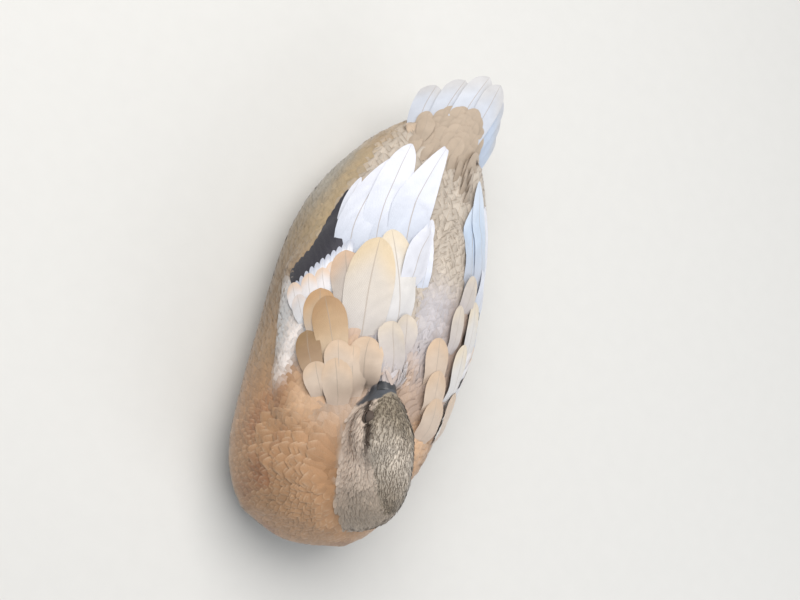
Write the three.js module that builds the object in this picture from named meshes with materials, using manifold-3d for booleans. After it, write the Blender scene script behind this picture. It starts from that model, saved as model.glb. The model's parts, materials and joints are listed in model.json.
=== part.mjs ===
// A life-size domestic duck asleep on the ground: the head is turned back over the left shoulder, the bill lies
// under the back feathers, and the feet are tucked under the belly.
// Millimetres, +Z up. The origin is on the floor under the middle of the belly. The breast faces -Y, the tail +Y,
// and +X is the duck's own left side.
import * as THREE from "three";
import Module from "manifold-3d";

const wasm = await Module();
wasm.setup();

// ---- driving dimensions ----
const LEFT = 1; // the duck's own left, towards +X
const RIGHT = -1;
const GAP = 0.3; // clearance between two pieces that touch
const ROUND = 2.15; // exponent of the body's rounded sections: 2 is an ellipse
const TRUNK_SIDES = 28;
const TRUNK_STEPS = 19;

// Trunk, feathers included but without the wings: [y, half width, top, bottom, height of the widest line].
const TRUNK = [
  [-198, 7, 66, 44, 55],
  [-192, 36, 90, 26, 58],
  [-175, 60, 113, 6, 61],
  [-140, 79, 128, -4, 60],
  [-90, 87, 136, -6, 57],
  [-30, 91, 139, -6, 52],
  [30, 95, 138, -6, 50],
  [80, 93, 131, -5, 51],
  [125, 80, 122, -2, 56],
  [160, 62, 114, 16, 64],
  [186, 42, 108, 46, 76],
  [204, 23, 104, 76, 88],
  [212, 7, 101, 90, 95],
];

// The surface that a folded wing lies on: it follows the trunk, then runs on straighter over the rump.
const WING_BED = [
  ...TRUNK.filter(([y]) => y <= 30),
  [80, 80, 134, 0, 62],
  [125, 70, 127, 0, 70],
  [170, 58, 121, 0, 76],
  [215, 48, 115, 0, 80],
];

// Head in its own frame, along the bill: [distance from the head's middle, half width, crown, throat, cheek line].
const HEAD = [
  [-37, 6, 6, -6, 0],
  [-34, 14, 14, -14, 0],
  [-26, 21, 21, -22, -1],
  [-12, 24.5, 25, -26, -2],
  [2, 23.5, 25, -25, -3],
  [14, 18.5, 21, -20.5, -2.5],
  [24, 13, 15, -14.5, -2],
  [30, 10, 11.5, -11, -1],
  [32, 8.5, 9, -9, -1],
];
const HEAD_CENTRE = new THREE.Vector3(1, -97, 156);
const HEAD_TURN = 8; // degrees that the bill points off the body's line, towards the duck's right
const HEAD_PITCH = -14; // the bill dips into the back feathers
const HEAD_ROLL = 17; // the left cheek is turned up

const EYE_RADIUS = 6;
const EYE_AT = { along: -1, side: 18.6, up: 3 };

// Bill, in the head's frame: [distance, half width, top, bottom, widest line].
const UPPER_BILL = [
  [27, 9.5, 10, -2, 0],
  [34, 9.2, 8.5, -2, 0],
  [46, 8.8, 4.6, -2, 0],
  [60, 10, 2.4, -2, 0],
  [72, 11.2, 1.6, -2, -0.4],
  [80, 9, 1, -2.2, -0.6],
  [84, 4.5, 0.2, -2.2, -1],
];
const LOWER_BILL = [
  [27, 8, -1, -8.5, -3],
  [40, 7.6, -1, -6.4, -3],
  [58, 8.4, -1, -5.2, -2.6],
  [72, 9.4, -1, -4.4, -2.4],
  [79, 7, -1, -3.8, -2.4],
  [81.5, 3.5, -1.6, -3.2, -2.4],
];
const BILL_PARTING = -2; // the line where the two halves of the bill meet

// The space under the back feathers that the bill lies in.
const BILL_ROOM = [
  [26, 12, 12.5, -11.5, 0],
  [40, 11.5, 9.5, -9.5, 0],
  [74, 14, 4.5, -7.5, -1],
  [88, 9.5, 3, -6, -1],
];

// The back feathers that close over the bill.
const BILL_COVER = [
  [33, 7, 8, -10, 0],
  [36, 15, 12, -16, -4],
  [48, 22, 12, -24, -8],
  [68, 25, 9, -26, -10],
  [90, 20, 4, -24, -12],
  [102, 8, -3, -20, -14],
];

// Folded neck, a rounded ridge over the breast: [y, half width, top, bottom, height of the widest line].
const NECK = [
  [-179, 5, 122, 98, 110],
  [-173, 15, 144, 84, 119],
  [-160, 22.5, 165, 78, 132],
  [-138, 26.5, 179, 76, 144],
  [-112, 27, 182, 84, 149],
  [-92, 24, 180, 110, 152],
  [-80, 16, 175, 128, 154],
  [-75, 5, 162, 148, 156],
];
const NECK_MIDDLE = 15; // how far the ridge lies to the duck's left
const NECK_LEAN = 0.08; // sideways travel for each millimetre of height
const NECK_SWING = -0.3; // sideways travel for each millimetre towards the tail

// Feathers that lie in a patch on the bed: [y, lower edge, upper edge, height], with the edges in degrees.
const PATCH_UNDER = 1.2; // height of a patch's underside above the bed
const WING = [
  [-122, 46, 52, 2.6],
  [-115, 38, 58, 5],
  [-90, 29, 62, 6],
  [-43, 20, 62, 6.5],
  [-4, 13, 62, 6.5],
  [28, 12, 62, 6.5],
  [54, 19, 64, 6],
  [84, 30, 62, 5],
  [104, 37, 56, 3.4],
  [110, 43, 51, 2.4],
];
const SCAPULARS = [
  [-80, 58, 70, 3],
  [-72, 47, 78, 6.5],
  [-50, 40, 83, 8],
  [-10, 42, 85, 8],
  [40, 50, 86, 8],
  [78, 60, 85, 6],
  [96, 68, 80, 3],
  [100, 71, 77, 2.4],
];

// Long feathers of each folded wing, from the lowest upwards: root and tip as [y, degrees], half width, height above
// the bed at root and tip, and thickness.
const LONG_FEATHERS = {
  [RIGHT]: [
    { root: [44, 40], tip: [124, 40], half: 11, lift: [2, 3], thick: 2.6 },
    { root: [40, 50], tip: [147, 57], half: 15, lift: [2.5, 6], thick: 2.6 },
    { root: [36, 64], tip: [171, 84], half: 15, lift: [3, 8], thick: 2.6 },
  ],
  [LEFT]: [
    { root: [44, 34], tip: [136, 36], half: 11, lift: [2, 2], thick: 2.6 },
    { root: [40, 44], tip: [158, 50], half: 12, lift: [2.5, 4], thick: 2.6 },
    { root: [36, 56], tip: [128, 62], half: 13, lift: [3, 4], thick: 2.6 },
  ],
};

// Tail feathers, from under the coverts to their tips.
const TAIL = { feathers: 7, root: [0, 168, 107], length: 79, rootHalf: 33, spread: -3, halfWidth: 12, thick: 3 };
const TAIL_SAG = 13; // how much lower the outer feathers lie than the middle ones
const TAIL_WEDGE = 0.27; // how much shorter the outer feathers are, as a share of the length
const TAIL_RISE = 0.12; // upward slope of the middle feathers
const TAIL_TURN = -10; // degrees that the tail swings to the duck's left

// Feet, folded flat under the belly.
const FOOT = { heel: [46, 62], joint: [44, 14], toe: 50, spread: 17, toeRadius: 3.4, web: 2.2, shank: 4.4 };

const COLOURS = {
  buff: 0xb98a60,
  breast: 0xb07a52,
  head: 0x9c8468,
  white: 0xe9e7ea,
  cream: 0xd9c4a8,
  bill: 0x5c5f5a,
  foot: 0xc07a35,
  eye: 0x1b120c,
};

// ---- shapes ----
const radians = THREE.MathUtils.degToRad;

// Smooth values between the rows of a table whose first column is the position.
function track(rows) {
  const at = rows.map((row) => row[0]);
  const values = rows.flatMap((row) => row.slice(1));
  const spline = new THREE.CubicInterpolant(at, values, rows[0].length - 1);
  return (t) => Array.from(spline.evaluate(THREE.MathUtils.clamp(t, at[0], at.at(-1))));
}

// Rings crowd towards both ends of a table, where the form closes.
function stationOf(table, i, steps) {
  return THREE.MathUtils.lerp(table[0][0], table.at(-1)[0], (1 - Math.cos((Math.PI * i) / steps)) / 2);
}

// A grown solid keeps its rings and pushes only the end ones outwards.
const endShift = (i, steps, grow) => (i === 0 ? -grow : i === steps ? grow : 0);

const signedPower = (v, p) => Math.sign(v) * Math.abs(v) ** p;

// A point of a rounded section: across and up. Angle 0 is the side, 90 degrees the top.
function sectionPoint([half, top, bottom, waist], angle, grow = 0) {
  const rise = Math.sin(angle) >= 0 ? top - waist : waist - bottom;
  return [
    (half + grow) * signedPower(Math.cos(angle), 2 / ROUND),
    waist + (rise + grow) * signedPower(Math.sin(angle), 2 / ROUND),
  ];
}

// The solid through closed rings of points, with its two ends filled.
function solidThrough(rings) {
  const count = rings[0].length;
  const points = rings.flat();
  const faces = [];
  rings.slice(1).forEach((_, i) => {
    for (let k = 0; k < count; k++) {
      const a = i * count + k;
      const b = i * count + ((k + 1) % count);
      faces.push(a, b, a + count, b, b + count, a + count);
    }
  });
  [0, rings.length - 1].forEach((end) => {
    const middle = new THREE.Vector3();
    rings[end].forEach((p) => middle.addScaledVector(p, 1 / count));
    const hub = points.push(middle) - 1;
    for (let k = 0; k < count; k++) {
      const a = end * count + k;
      const b = end * count + ((k + 1) % count);
      faces.push(...(end ? [a, b, hub] : [b, a, hub]));
    }
  });
  return closed(points, faces);
}

// A manifold solid of points and triangles, turned so that its faces point out.
function closed(points, faces) {
  let volume = 0;
  for (let i = 0; i < faces.length; i += 3) {
    const [a, b, c] = [points[faces[i]], points[faces[i + 1]], points[faces[i + 2]]];
    volume += a.dot(new THREE.Vector3().crossVectors(b, c));
  }
  const turned = volume < 0 ? faces.flatMap((_, i) => (i % 3 ? [] : [faces[i], faces[i + 2], faces[i + 1]])) : faces;
  const vertProperties = new Float32Array(points.flatMap((p) => [p.x, p.y, p.z]));
  return new wasm.Manifold(new wasm.Mesh({ numProp: 3, vertProperties, triVerts: new Uint32Array(turned) }));
}

const cut = (solid, ...tools) => tools.reduce((rest, tool) => rest.subtract(tool), solid);
const join = (solids) => solids.reduce((whole, solid) => whole.add(solid));
const aboveFloor = (solid) => solid.trimByPlane([0, 0, 1], 0);

// The part of a solid that isn't a sliver.
function largest(solid) {
  return solid.decompose().reduce((best, piece) => (piece.volume() > best.volume() ? piece : best));
}

// A solid whose sections stand across a line of its own, such as the trunk, the head and each half of the bill.
function sectioned(table, steps, sides, place, grow = 0) {
  const at = track(table);
  const rings = [];
  for (let i = 0; i <= steps; i++) {
    const along = stationOf(table, i, steps);
    const row = at(along);
    const ring = [];
    for (let k = 0; k < sides; k++) {
      const [across, up] = sectionPoint(row, (2 * Math.PI * k) / sides, grow);
      ring.push(place(across, along + endShift(i, steps, grow), up));
    }
    rings.push(ring);
  }
  return solidThrough(rings);
}

const bodyPlace = (across, along, up) => new THREE.Vector3(across, along, up);

// ---- head ----
// The head's frame: +Y along the bill, +Z through the crown, and so +X on the head's own right.
const headMatrix = new THREE.Matrix4()
  .makeTranslation(HEAD_CENTRE)
  .multiply(new THREE.Matrix4().makeRotationZ(radians(HEAD_TURN)))
  .multiply(new THREE.Matrix4().makeRotationX(radians(HEAD_PITCH)))
  .multiply(new THREE.Matrix4().makeRotationY(radians(HEAD_ROLL)));
const headPlace = (across, along, up) => new THREE.Vector3(across, along, up).applyMatrix4(headMatrix);

function headSolid(grow = 0) {
  return sectioned(HEAD, 10, 18, headPlace, grow);
}

function ball(centre, radius) {
  const rings = [];
  const steps = 6;
  const sides = 12;
  for (let i = 1; i < steps; i++) {
    const polar = (Math.PI * i) / steps;
    const ring = [];
    for (let k = 0; k < sides; k++) {
      const turn = (2 * Math.PI * k) / sides;
      const offset = new THREE.Vector3().setFromSphericalCoords(radius, polar, turn);
      ring.push(offset.add(centre));
    }
    rings.push(ring);
  }
  return solidThrough(rings);
}

function eyeSolid(side, grow = 0) {
  return ball(headPlace(-side * EYE_AT.side, EYE_AT.along, EYE_AT.up), EYE_RADIUS + grow);
}

function billHalf(table, upper, grow = 0) {
  const whole = sectioned(table, 8, 12, headPlace, grow);
  const up = new THREE.Vector3(0, 0, upper ? 1 : -1).transformDirection(headMatrix);
  const parting = headPlace(0, 50, BILL_PARTING + (upper ? 1 : -1) * (GAP / 2 - grow));
  return whole.trimByPlane(up.toArray(), up.dot(parting));
}

function billRoom() {
  return sectioned(BILL_ROOM, 5, 10, headPlace);
}

function billCover(grow = 0) {
  return sectioned(BILL_COVER, 8, 16, headPlace, grow);
}

// ---- neck ----
function neckPlace(across, along, up) {
  const shift = NECK_MIDDLE + NECK_LEAN * (up - 150) + NECK_SWING * (along + 130);
  return new THREE.Vector3(across + shift, along, up);
}

function neckSolid(grow = 0) {
  return sectioned(NECK, 9, 18, neckPlace, grow);
}

// ---- wings ----
const wingBed = track(WING_BED);

// A point on the wing's bed: the side, how far back, the angle round the body in degrees, and the height above it.
function bedPoint(side, y, degrees, lift) {
  const [across, up] = sectionPoint(wingBed(y), radians(degrees), lift);
  return new THREE.Vector3(side * across, y, up);
}

// A patch of feathers that lies on the bed.
function patch(side, rows, grow = 0) {
  const across = 5;
  const steps = 9;
  const at = track(rows);
  const rings = [];
  for (let i = 0; i <= steps; i++) {
    const station = stationOf(rows, i, steps);
    const y = station + endShift(i, steps, grow);
    const [low, high, over] = at(station);
    const middle = (low + high) / 2;
    const reach = (high - low) / 2 + grow * 0.7;
    const ring = [];
    for (let k = 0; k <= across; k++) {
      const u = (2 * k) / across - 1;
      const height = THREE.MathUtils.lerp(PATCH_UNDER, over, Math.sqrt(1 - 0.8 * u ** 4));
      ring.push(bedPoint(side, y, middle + reach * u, height + grow));
    }
    for (let k = across; k >= 0; k--) {
      const u = (2 * k) / across - 1;
      ring.push(bedPoint(side, y, middle + reach * u, PATCH_UNDER - grow));
    }
    rings.push(ring);
  }
  return solidThrough(rings);
}

// One long feather that lies on the bed.
function longFeather(side, { root, tip, half, lift, thick }, grow = 0) {
  const steps = 4;
  const rings = [];
  for (let i = 0; i <= steps; i++) {
    const t = i / steps;
    const y = THREE.MathUtils.lerp(root[0] - grow, tip[0] + grow, t);
    const degrees = THREE.MathUtils.lerp(root[1], tip[1], t);
    const raised = THREE.MathUtils.lerp(lift[0], lift[1], t);
    const middle = bedPoint(side, y, degrees, raised);
    const across = bedPoint(side, y, degrees + 2, raised).sub(bedPoint(side, y, degrees - 2, raised)).normalize();
    const out = bedPoint(side, y, degrees, raised + 5).sub(middle).normalize();
    const reach = half * Math.sqrt(Math.max(0.02, 1 - t ** 3.5)) + grow;
    const rise = thick / 2 + grow;
    ring4(rings, middle, across, out, reach, rise);
  }
  return solidThrough(rings);
}

// A six-sided section of a flat feather.
function ring4(rings, middle, across, out, reach, rise) {
  const corner = (a, b) => middle.clone().addScaledVector(across, a * reach).addScaledVector(out, b * rise);
  rings.push([corner(1, 0), corner(0.55, 1), corner(-0.55, 1), corner(-1, 0), corner(-0.55, -1), corner(0.55, -1)]);
}

function longFeathers(side, grow = 0) {
  return join(LONG_FEATHERS[side].map((feather) => longFeather(side, feather, grow)));
}

// ---- tail ----
const tailMatrix = new THREE.Matrix4()
  .makeTranslation(...TAIL.root)
  .multiply(new THREE.Matrix4().makeRotationZ(radians(TAIL_TURN)));

// Height of the fan's middle surface: how far across it, in root half widths, and how far back.
const fanHeight = (u, y) => 2.2 * Math.max(0, 1 - Math.abs(u)) - TAIL_SAG * u * u + (TAIL_RISE - 0.05 * Math.abs(u)) * y;

function tailSolid() {
  const feathers = [];
  for (let i = 0; i < TAIL.feathers; i++) {
    const u = (2 * i) / (TAIL.feathers - 1) - 1;
    const angle = radians(TAIL.spread * u);
    const across = new THREE.Vector3(Math.cos(angle), -Math.sin(angle), -0.7 * u).normalize();
    const out = new THREE.Vector3(0.7 * u, 0, 1).normalize();
    const length = TAIL.length * (1 - TAIL_WEDGE * u * u);
    const rings = [];
    for (let k = 0; k <= 3; k++) {
      const t = k / 3;
      const y = length * t;
      const middle = new THREE.Vector3(TAIL.rootHalf * u + Math.tan(angle) * y, y, fanHeight(u, y));
      const reach = TAIL.halfWidth * Math.sqrt(Math.max(0.04, 1 - t ** 5));
      ring4(rings, middle, across, out, reach, TAIL.thick / 2);
    }
    feathers.push(solidThrough(rings.map((ring) => ring.map((p) => p.applyMatrix4(tailMatrix)))));
  }
  return join(feathers);
}

// The slot in the coverts that holds the roots of the tail feathers.
function tailRoom() {
  const lanes = [-1.42, -1.15, -0.85, -0.5, -0.17, 0.17, 0.5, 0.85, 1.15, 1.42];
  const rise = TAIL.thick / 2 + 2.4;
  const rings = [-1.5, TAIL.length].map((y) => {
    const edge = (u, lift) => new THREE.Vector3(TAIL.rootHalf * u, y, fanHeight(u, y) + lift);
    const outline = [...lanes.map((u) => edge(u, rise)), ...lanes.toReversed().map((u) => edge(u, -rise))];
    return outline.map((p) => p.applyMatrix4(tailMatrix));
  });
  return solidThrough(rings);
}

// ---- feet ----
// A rounded bar that lies on the floor from one point to another.
function bar(a, b, radiusA, radiusB, grow = 0) {
  const ahead = new THREE.Vector3().subVectors(b, a).normalize();
  const across = new THREE.Vector3(ahead.y, -ahead.x, 0).normalize();
  const up = new THREE.Vector3(0, 0, 1);
  const rings = [];
  const [steps, sides] = [3, 8];
  for (let i = 0; i <= steps; i++) {
    const t = i / steps;
    const middle = a.clone().lerp(b, t).addScaledVector(ahead, grow * (2 * t - 1));
    const size = THREE.MathUtils.lerp(radiusA, radiusB, t) * (i % steps ? 1 : 0.6) + grow;
    const ring = [];
    for (let k = 0; k < sides; k++) {
      const turn = (2 * Math.PI * k) / sides;
      ring.push(middle.clone().addScaledVector(across, size * Math.cos(turn)).addScaledVector(up, size * Math.sin(turn)));
    }
    rings.push(ring);
  }
  return solidThrough(rings);
}

const footPoint = (side, [x, y], z) => new THREE.Vector3(side * x, y, z);

function toeTips(side) {
  const joint = footPoint(side, FOOT.joint, FOOT.toeRadius);
  return [-1, 0, 1].map((n) => {
    const angle = radians(FOOT.spread * n);
    const reach = FOOT.toe * (n ? 0.9 : 1);
    return joint.clone().add(new THREE.Vector3(reach * Math.sin(angle), -reach * Math.cos(angle), 0));
  });
}

function footSolid(side, grow = 0) {
  const joint = footPoint(side, FOOT.joint, FOOT.toeRadius);
  const tips = toeTips(side);
  const toes = tips.map((tip) => bar(joint, tip, FOOT.toeRadius, FOOT.toeRadius * 0.7, grow));
  const rim = [joint, tips[0], joint.clone().lerp(tips[1], 0.9), tips[2]];
  const layer = (z) => rim.map((p) => new THREE.Vector3(p.x, p.y, z));
  const web = solidThrough([layer(-1), layer(FOOT.web + grow)]);
  return join([...toes, web]);
}

function legSolid(side, grow = 0) {
  const heel = footPoint(side, FOOT.heel, FOOT.shank);
  const joint = footPoint(side, FOOT.joint, FOOT.shank);
  return bar(heel, joint, FOOT.shank * 1.25, FOOT.shank, grow);
}

// ---- assembly ----
const material = (colour, roughness) => new THREE.MeshStandardMaterial({ color: colour, roughness, metalness: 0 });
const duck = new THREE.Group();

function add(name, solid, colour, roughness = 0.85) {
  const mesh = solid.getMesh();
  const geometry = new THREE.BufferGeometry();
  const positions = new Float32Array(mesh.numVert * 3);
  for (let i = 0; i < mesh.numVert; i++) {
    positions.set(mesh.vertProperties.subarray(i * mesh.numProp, i * mesh.numProp + 3), i * 3);
  }
  geometry.setAttribute("position", new THREE.BufferAttribute(positions, 3));
  geometry.setIndex(new THREE.BufferAttribute(mesh.triVerts, 1));
  geometry.computeVertexNormals();
  const piece = new THREE.Mesh(geometry, material(colour, roughness));
  piece.name = name;
  duck.add(piece);
}

const trunkWhole = sectioned(TRUNK, TRUNK_STEPS, TRUNK_SIDES, bodyPlace);
const trunkGrown = sectioned(TRUNK, TRUNK_STEPS, TRUNK_SIDES, bodyPlace, GAP);
const headGrown = headSolid(GAP);
const billGrown = join([billHalf(UPPER_BILL, true, GAP), billHalf(LOWER_BILL, false, GAP)]);
const neckGrown = neckSolid(GAP);
const sides = { right: RIGHT, left: LEFT };
const trunkTools = [headGrown, billRoom(), neckGrown, tailRoom()];

const cover = largest(cut(billCover(), billRoom(), headGrown, neckGrown, trunkGrown));
add("bill_cover", cover, COLOURS.cream);

for (const [word, side] of Object.entries(sides)) {
  const scapularsGrown = patch(side, SCAPULARS, GAP);
  const feathersGrown = longFeathers(side, GAP);
  const scapulars = cut(patch(side, SCAPULARS), billCover(GAP), trunkGrown, headGrown, neckGrown);
  const wing = cut(patch(side, WING), trunkGrown, scapularsGrown, feathersGrown, neckGrown);
  const feathers = cut(longFeathers(side), trunkGrown, scapularsGrown);
  add(`scapulars_${word}`, largest(scapulars), COLOURS.cream);
  add(`wing_${word}`, largest(wing), COLOURS.buff);
  add(`flight_feathers_${word}`, largest(feathers), COLOURS.white, 0.7);
  const foot = aboveFloor(cut(footSolid(side), legSolid(side, GAP)));
  add(`foot_${word}`, largest(foot), COLOURS.foot, 0.6);
  add(`leg_${word}`, aboveFloor(legSolid(side)), COLOURS.foot, 0.6);
  trunkTools.push(footSolid(side, GAP), legSolid(side, GAP));
}

for (const [word, side] of Object.entries(sides)) {
  add(`eye_${word}`, eyeSolid(side), COLOURS.eye, 0.15);
}

const eyesGrown = join([eyeSolid(LEFT, GAP), eyeSolid(RIGHT, GAP)]);
add("bill_upper", billHalf(UPPER_BILL, true), COLOURS.bill, 0.45);
add("bill_lower", billHalf(LOWER_BILL, false), COLOURS.bill, 0.45);
add("head", largest(cut(headSolid(), eyesGrown, billGrown)), COLOURS.head);
add("neck", largest(cut(neckSolid(), headGrown, eyesGrown)), COLOURS.head);
add("tail", tailSolid(), COLOURS.white, 0.7);
add("trunk", largest(aboveFloor(cut(trunkWhole, ...trunkTools))), COLOURS.breast);

export default duck;
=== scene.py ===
"""Looks of a life-size domestic duck asleep on the ground, its bill laid back under the feathers of its back.

Lengths are in metres in the part's own frame: +Y towards the tail, +X to the duck's left, +Z up.
"""

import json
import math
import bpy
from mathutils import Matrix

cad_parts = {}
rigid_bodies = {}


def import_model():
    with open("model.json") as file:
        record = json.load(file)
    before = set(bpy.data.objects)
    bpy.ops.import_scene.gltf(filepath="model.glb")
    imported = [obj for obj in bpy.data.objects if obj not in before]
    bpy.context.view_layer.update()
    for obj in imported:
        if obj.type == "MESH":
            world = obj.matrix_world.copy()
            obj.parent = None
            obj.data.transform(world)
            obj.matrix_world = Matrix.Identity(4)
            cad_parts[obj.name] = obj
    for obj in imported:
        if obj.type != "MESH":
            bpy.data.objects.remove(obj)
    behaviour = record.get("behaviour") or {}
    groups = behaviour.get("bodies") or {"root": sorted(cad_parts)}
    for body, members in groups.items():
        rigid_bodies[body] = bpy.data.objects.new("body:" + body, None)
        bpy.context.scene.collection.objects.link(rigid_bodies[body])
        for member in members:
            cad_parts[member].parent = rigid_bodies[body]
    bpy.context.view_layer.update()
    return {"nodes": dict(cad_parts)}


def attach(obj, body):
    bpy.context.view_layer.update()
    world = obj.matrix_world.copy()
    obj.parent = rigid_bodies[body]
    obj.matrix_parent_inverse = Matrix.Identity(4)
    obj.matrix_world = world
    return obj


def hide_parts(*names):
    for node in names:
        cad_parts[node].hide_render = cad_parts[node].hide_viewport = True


bl_info = {
    "name": "Resting domestic duck",
    "version": (1, 0, 0),
    "blender": (4, 5, 0),
    "location": "View3D > Sidebar > Duck",
    "description": "Skin, coat, large feathers, bill, eyes and feet of a sleeping duck over its solid model",
    "category": "Object",
}

import bmesh
import bpy
import numpy as np
from bpy.props import FloatProperty, FloatVectorProperty, IntProperty, PointerProperty
from mathutils import Matrix, Vector
from mathutils.bvhtree import BVHTree

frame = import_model()

MM = 0.001
LEFT, RIGHT = 1, -1
AXIS_HEIGHT = 0.056  # height of the line round which places on the body are given in degrees
FLESH = ("trunk", "neck", "head", "bill_cover", "scapulars_left", "scapulars_right", "wing_left", "wing_right")
HEAD_FRAME = (
    Matrix.Translation((0.001, -0.097, 0.156))
    @ Matrix.Rotation(math.radians(8), 4, "Z")
    @ Matrix.Rotation(math.radians(-14), 4, "X")
    @ Matrix.Rotation(math.radians(17), 4, "Y")
)
TAIL_FRAME = Matrix.Translation((0, 0.168, 0.107)) @ Matrix.Rotation(math.radians(-10), 4, "Z")
BILL_BASE = HEAD_FRAME @ Vector((0, 0.036, 0))
COAT_SOURCE = Vector((0.010, -0.125, 0.135))  # the body's coat spreads from the foot of the neck
HEAD, NECK = FLESH.index("head"), FLESH.index("neck")
HEAD_PARTS = [HEAD, NECK]
JOIN_GROWTH = 0.0007  # how far the body's solids are grown, so that they run into each other
FLOOR_GAP = 0.0003  # the coat and the feet stay this far above the floor
BAKE_PATCH = 0.003  # width of a feather's patch on the OFBake map


# ---- small tools ----
def rgb(code):
    """A colour written as #rrggbb, in linear light."""
    parts = [int(code[i : i + 2], 16) / 255 for i in (1, 3, 5)]
    return tuple(c / 12.92 if c <= 0.04045 else ((c + 0.055) / 1.055) ** 2.4 for c in parts)


def colour_property(name, description, code):
    return FloatVectorProperty(
        name=name, description=description, default=rgb(code), min=0, max=1, size=3, subtype="COLOR"
    )


def length_property(name, description, default, low=0.0001, high=0.3):
    return FloatProperty(name=name, description=description, default=default, min=low, max=high, unit="LENGTH")


def unit(v):
    return v / np.maximum(np.linalg.norm(v, axis=-1, keepdims=True), 1e-12)


def ramp(x, low, high):
    """0 below low, 1 above high, smooth between."""
    t = np.clip((x - low) / (high - low), 0, 1)
    return t * t * (3 - 2 * t)


def mix(a, b, share):
    share = np.asarray(share)[..., None]
    return np.asarray(a) * (1 - share) + np.asarray(b) * share


def waves(p, scale, seed):
    """Smooth noise from -1 to 1 at the points p, with features about scale metres across."""
    rng = np.random.default_rng(seed)
    total = np.zeros(len(p))
    for turn in range(6):
        direction = unit(rng.normal(size=3))
        shift = np.array([math.sin(turn * 2.1), math.cos(turn * 1.7), 1.0])
        bend = np.sin(p @ unit(rng.normal(size=3)) / scale * 3.1 + turn) * 0.8
        total += np.sin(p @ direction / scale * (4.2 + turn * 0.9) + bend + shift.sum() * turn)
    return total / 4


def square_to(v, way):
    """The directions v, turned at right angles to way."""
    return unit(v - way * (v * way).sum(1, keepdims=True))


def placed(own_frame, x, y, z):
    """A place given in millimetres in the head's or the tail's own frame."""
    return own_frame @ Vector((x * MM, y * MM, z * MM))


def add_object(name, data):
    made = bpy.data.objects.new(name, data)
    bpy.context.scene.collection.objects.link(made)
    return made


def shade_smooth(mesh):
    mesh.polygons.foreach_set("use_smooth", np.ones(len(mesh.polygons), bool))


def mesh_object(name, points, faces, material=None):
    mesh = bpy.data.meshes.new(name)
    mesh.from_pydata([tuple(p) for p in points], [], [tuple(f) for f in faces])
    shade_smooth(mesh)
    mesh.update()
    if material:
        mesh.materials.append(material)
    return add_object(name, mesh)


def evaluated_mesh(piece):
    """A plain mesh of the piece with its modifiers applied."""
    graph = bpy.context.evaluated_depsgraph_get()
    return bpy.data.meshes.new_from_object(piece.evaluated_get(graph))


def mesh_arrays(mesh):
    points = np.zeros(len(mesh.vertices) * 3)
    mesh.vertices.foreach_get("co", points)
    normals = np.zeros(len(mesh.vertices) * 3)
    mesh.vertices.foreach_get("normal", normals)
    return points.reshape(-1, 3), normals.reshape(-1, 3)


def paint(mesh, name, colours):
    layer = mesh.color_attributes.new(name, "FLOAT_COLOR", "POINT")
    rgba = np.ones((len(mesh.vertices), 4))
    rgba[:, :3] = np.clip(colours, 0, 1)
    layer.data.foreach_set("color", rgba.ravel())


def finish_piece(piece, slot, *nodes):
    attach(piece, "root")
    if nodes:
        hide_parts(*nodes)
    return piece


# ---- settings ----
class DuckBodySettings(bpy.types.PropertyGroup):
    skin_voxel: length_property("Skin grain", "Size of the grid that joins the body's solids", 0.0026)
    coat_depth: length_property("Coat depth", "How far the skin lies inside the body's solids", 0.0028)
    head_coat_depth: length_property("Head coat depth", "How far the skin lies inside the head's solid", 0.0014)
    breast: colour_property("Breast", "Colour of the breast and shoulders", "#a9805b")
    breast_edge: colour_property("Breast edge", "Colour of the lower edge of the breast", "#b19a83")
    flank: colour_property("Flank", "Colour of the flank below the wing", "#9e8162")
    belly: colour_property("Belly", "Colour of the underside", "#a8947c")
    mantle: colour_property("Mantle", "Colour of the upper back", "#cda886")
    rump: colour_property("Rump", "Colour of the rump", "#c1b5a7")
    vent: colour_property("Vent", "Colour of the feathers under the tail", "#b09878")
    covert: colour_property("Coverts", "Colour of the small feathers of the wing", "#cccac9")
    fluff: colour_property("Fluff", "Colour of the loose feathers round the bill", "#b8b2b4")
    seed: IntProperty(name="Seed", description="Seed of the coat's scatter", default=7, min=0)


class DuckHeadSettings(bpy.types.PropertyGroup):
    crown_dark: colour_property("Crown streaks", "Dark streaks of the crown", "#362612")
    crown_pale: colour_property("Crown edges", "Pale edges of the crown's feathers", "#d8cbbb")
    nape: colour_property("Nape", "Colour of the back of the neck", "#8c7c66")
    cheek: colour_property("Cheek", "Colour of the cheek", "#decbba")
    stripe: colour_property("Eye stripe", "Dark line through the eye", "#3b2d22")
    bill: colour_property("Bill", "Colour of the bill", "#3c3d40")
    bill_nail: colour_property("Nail", "Colour of the nail at the bill's tip", "#3b3a36")
    eyeball: colour_property("Eye", "Colour of the iris", "#1b120c")
    lid: colour_property("Lids", "Colour of the eyelids", "#50433a")
    lid_gap: length_property("Lid gap", "Width of the slit between the lids", 0.0012)


class DuckWingSettings(bpy.types.PropertyGroup):
    buff: colour_property("Buff tips", "Colour of the shoulder feathers' tips", "#bd966d")
    pale_base: colour_property("Pale bases", "Colour of the shoulder feathers' bases", "#b9aea6")
    tertial: colour_property("Tertials", "Colour of the pale inner flight feathers", "#d3d3da")
    white: colour_property("White feathers", "Colour of the long flight feathers", "#e2e2ea")
    speculum: colour_property("Wing patch", "Dark patch on the wing", "#24212b")
    thickness: length_property("Vane thickness", "Thickness of a large feather at its shaft", 0.0007)


class DuckTailSettings(bpy.types.PropertyGroup):
    colour: colour_property("Tail", "Colour of the tail feathers", "#cbccd2")
    tip: colour_property("Tail tips", "Colour of the tail's tan tips", "#c6bdb2")
    covert: colour_property("Tail coverts", "Colour of the feathers over the tail's base", "#b3a08c")


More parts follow.
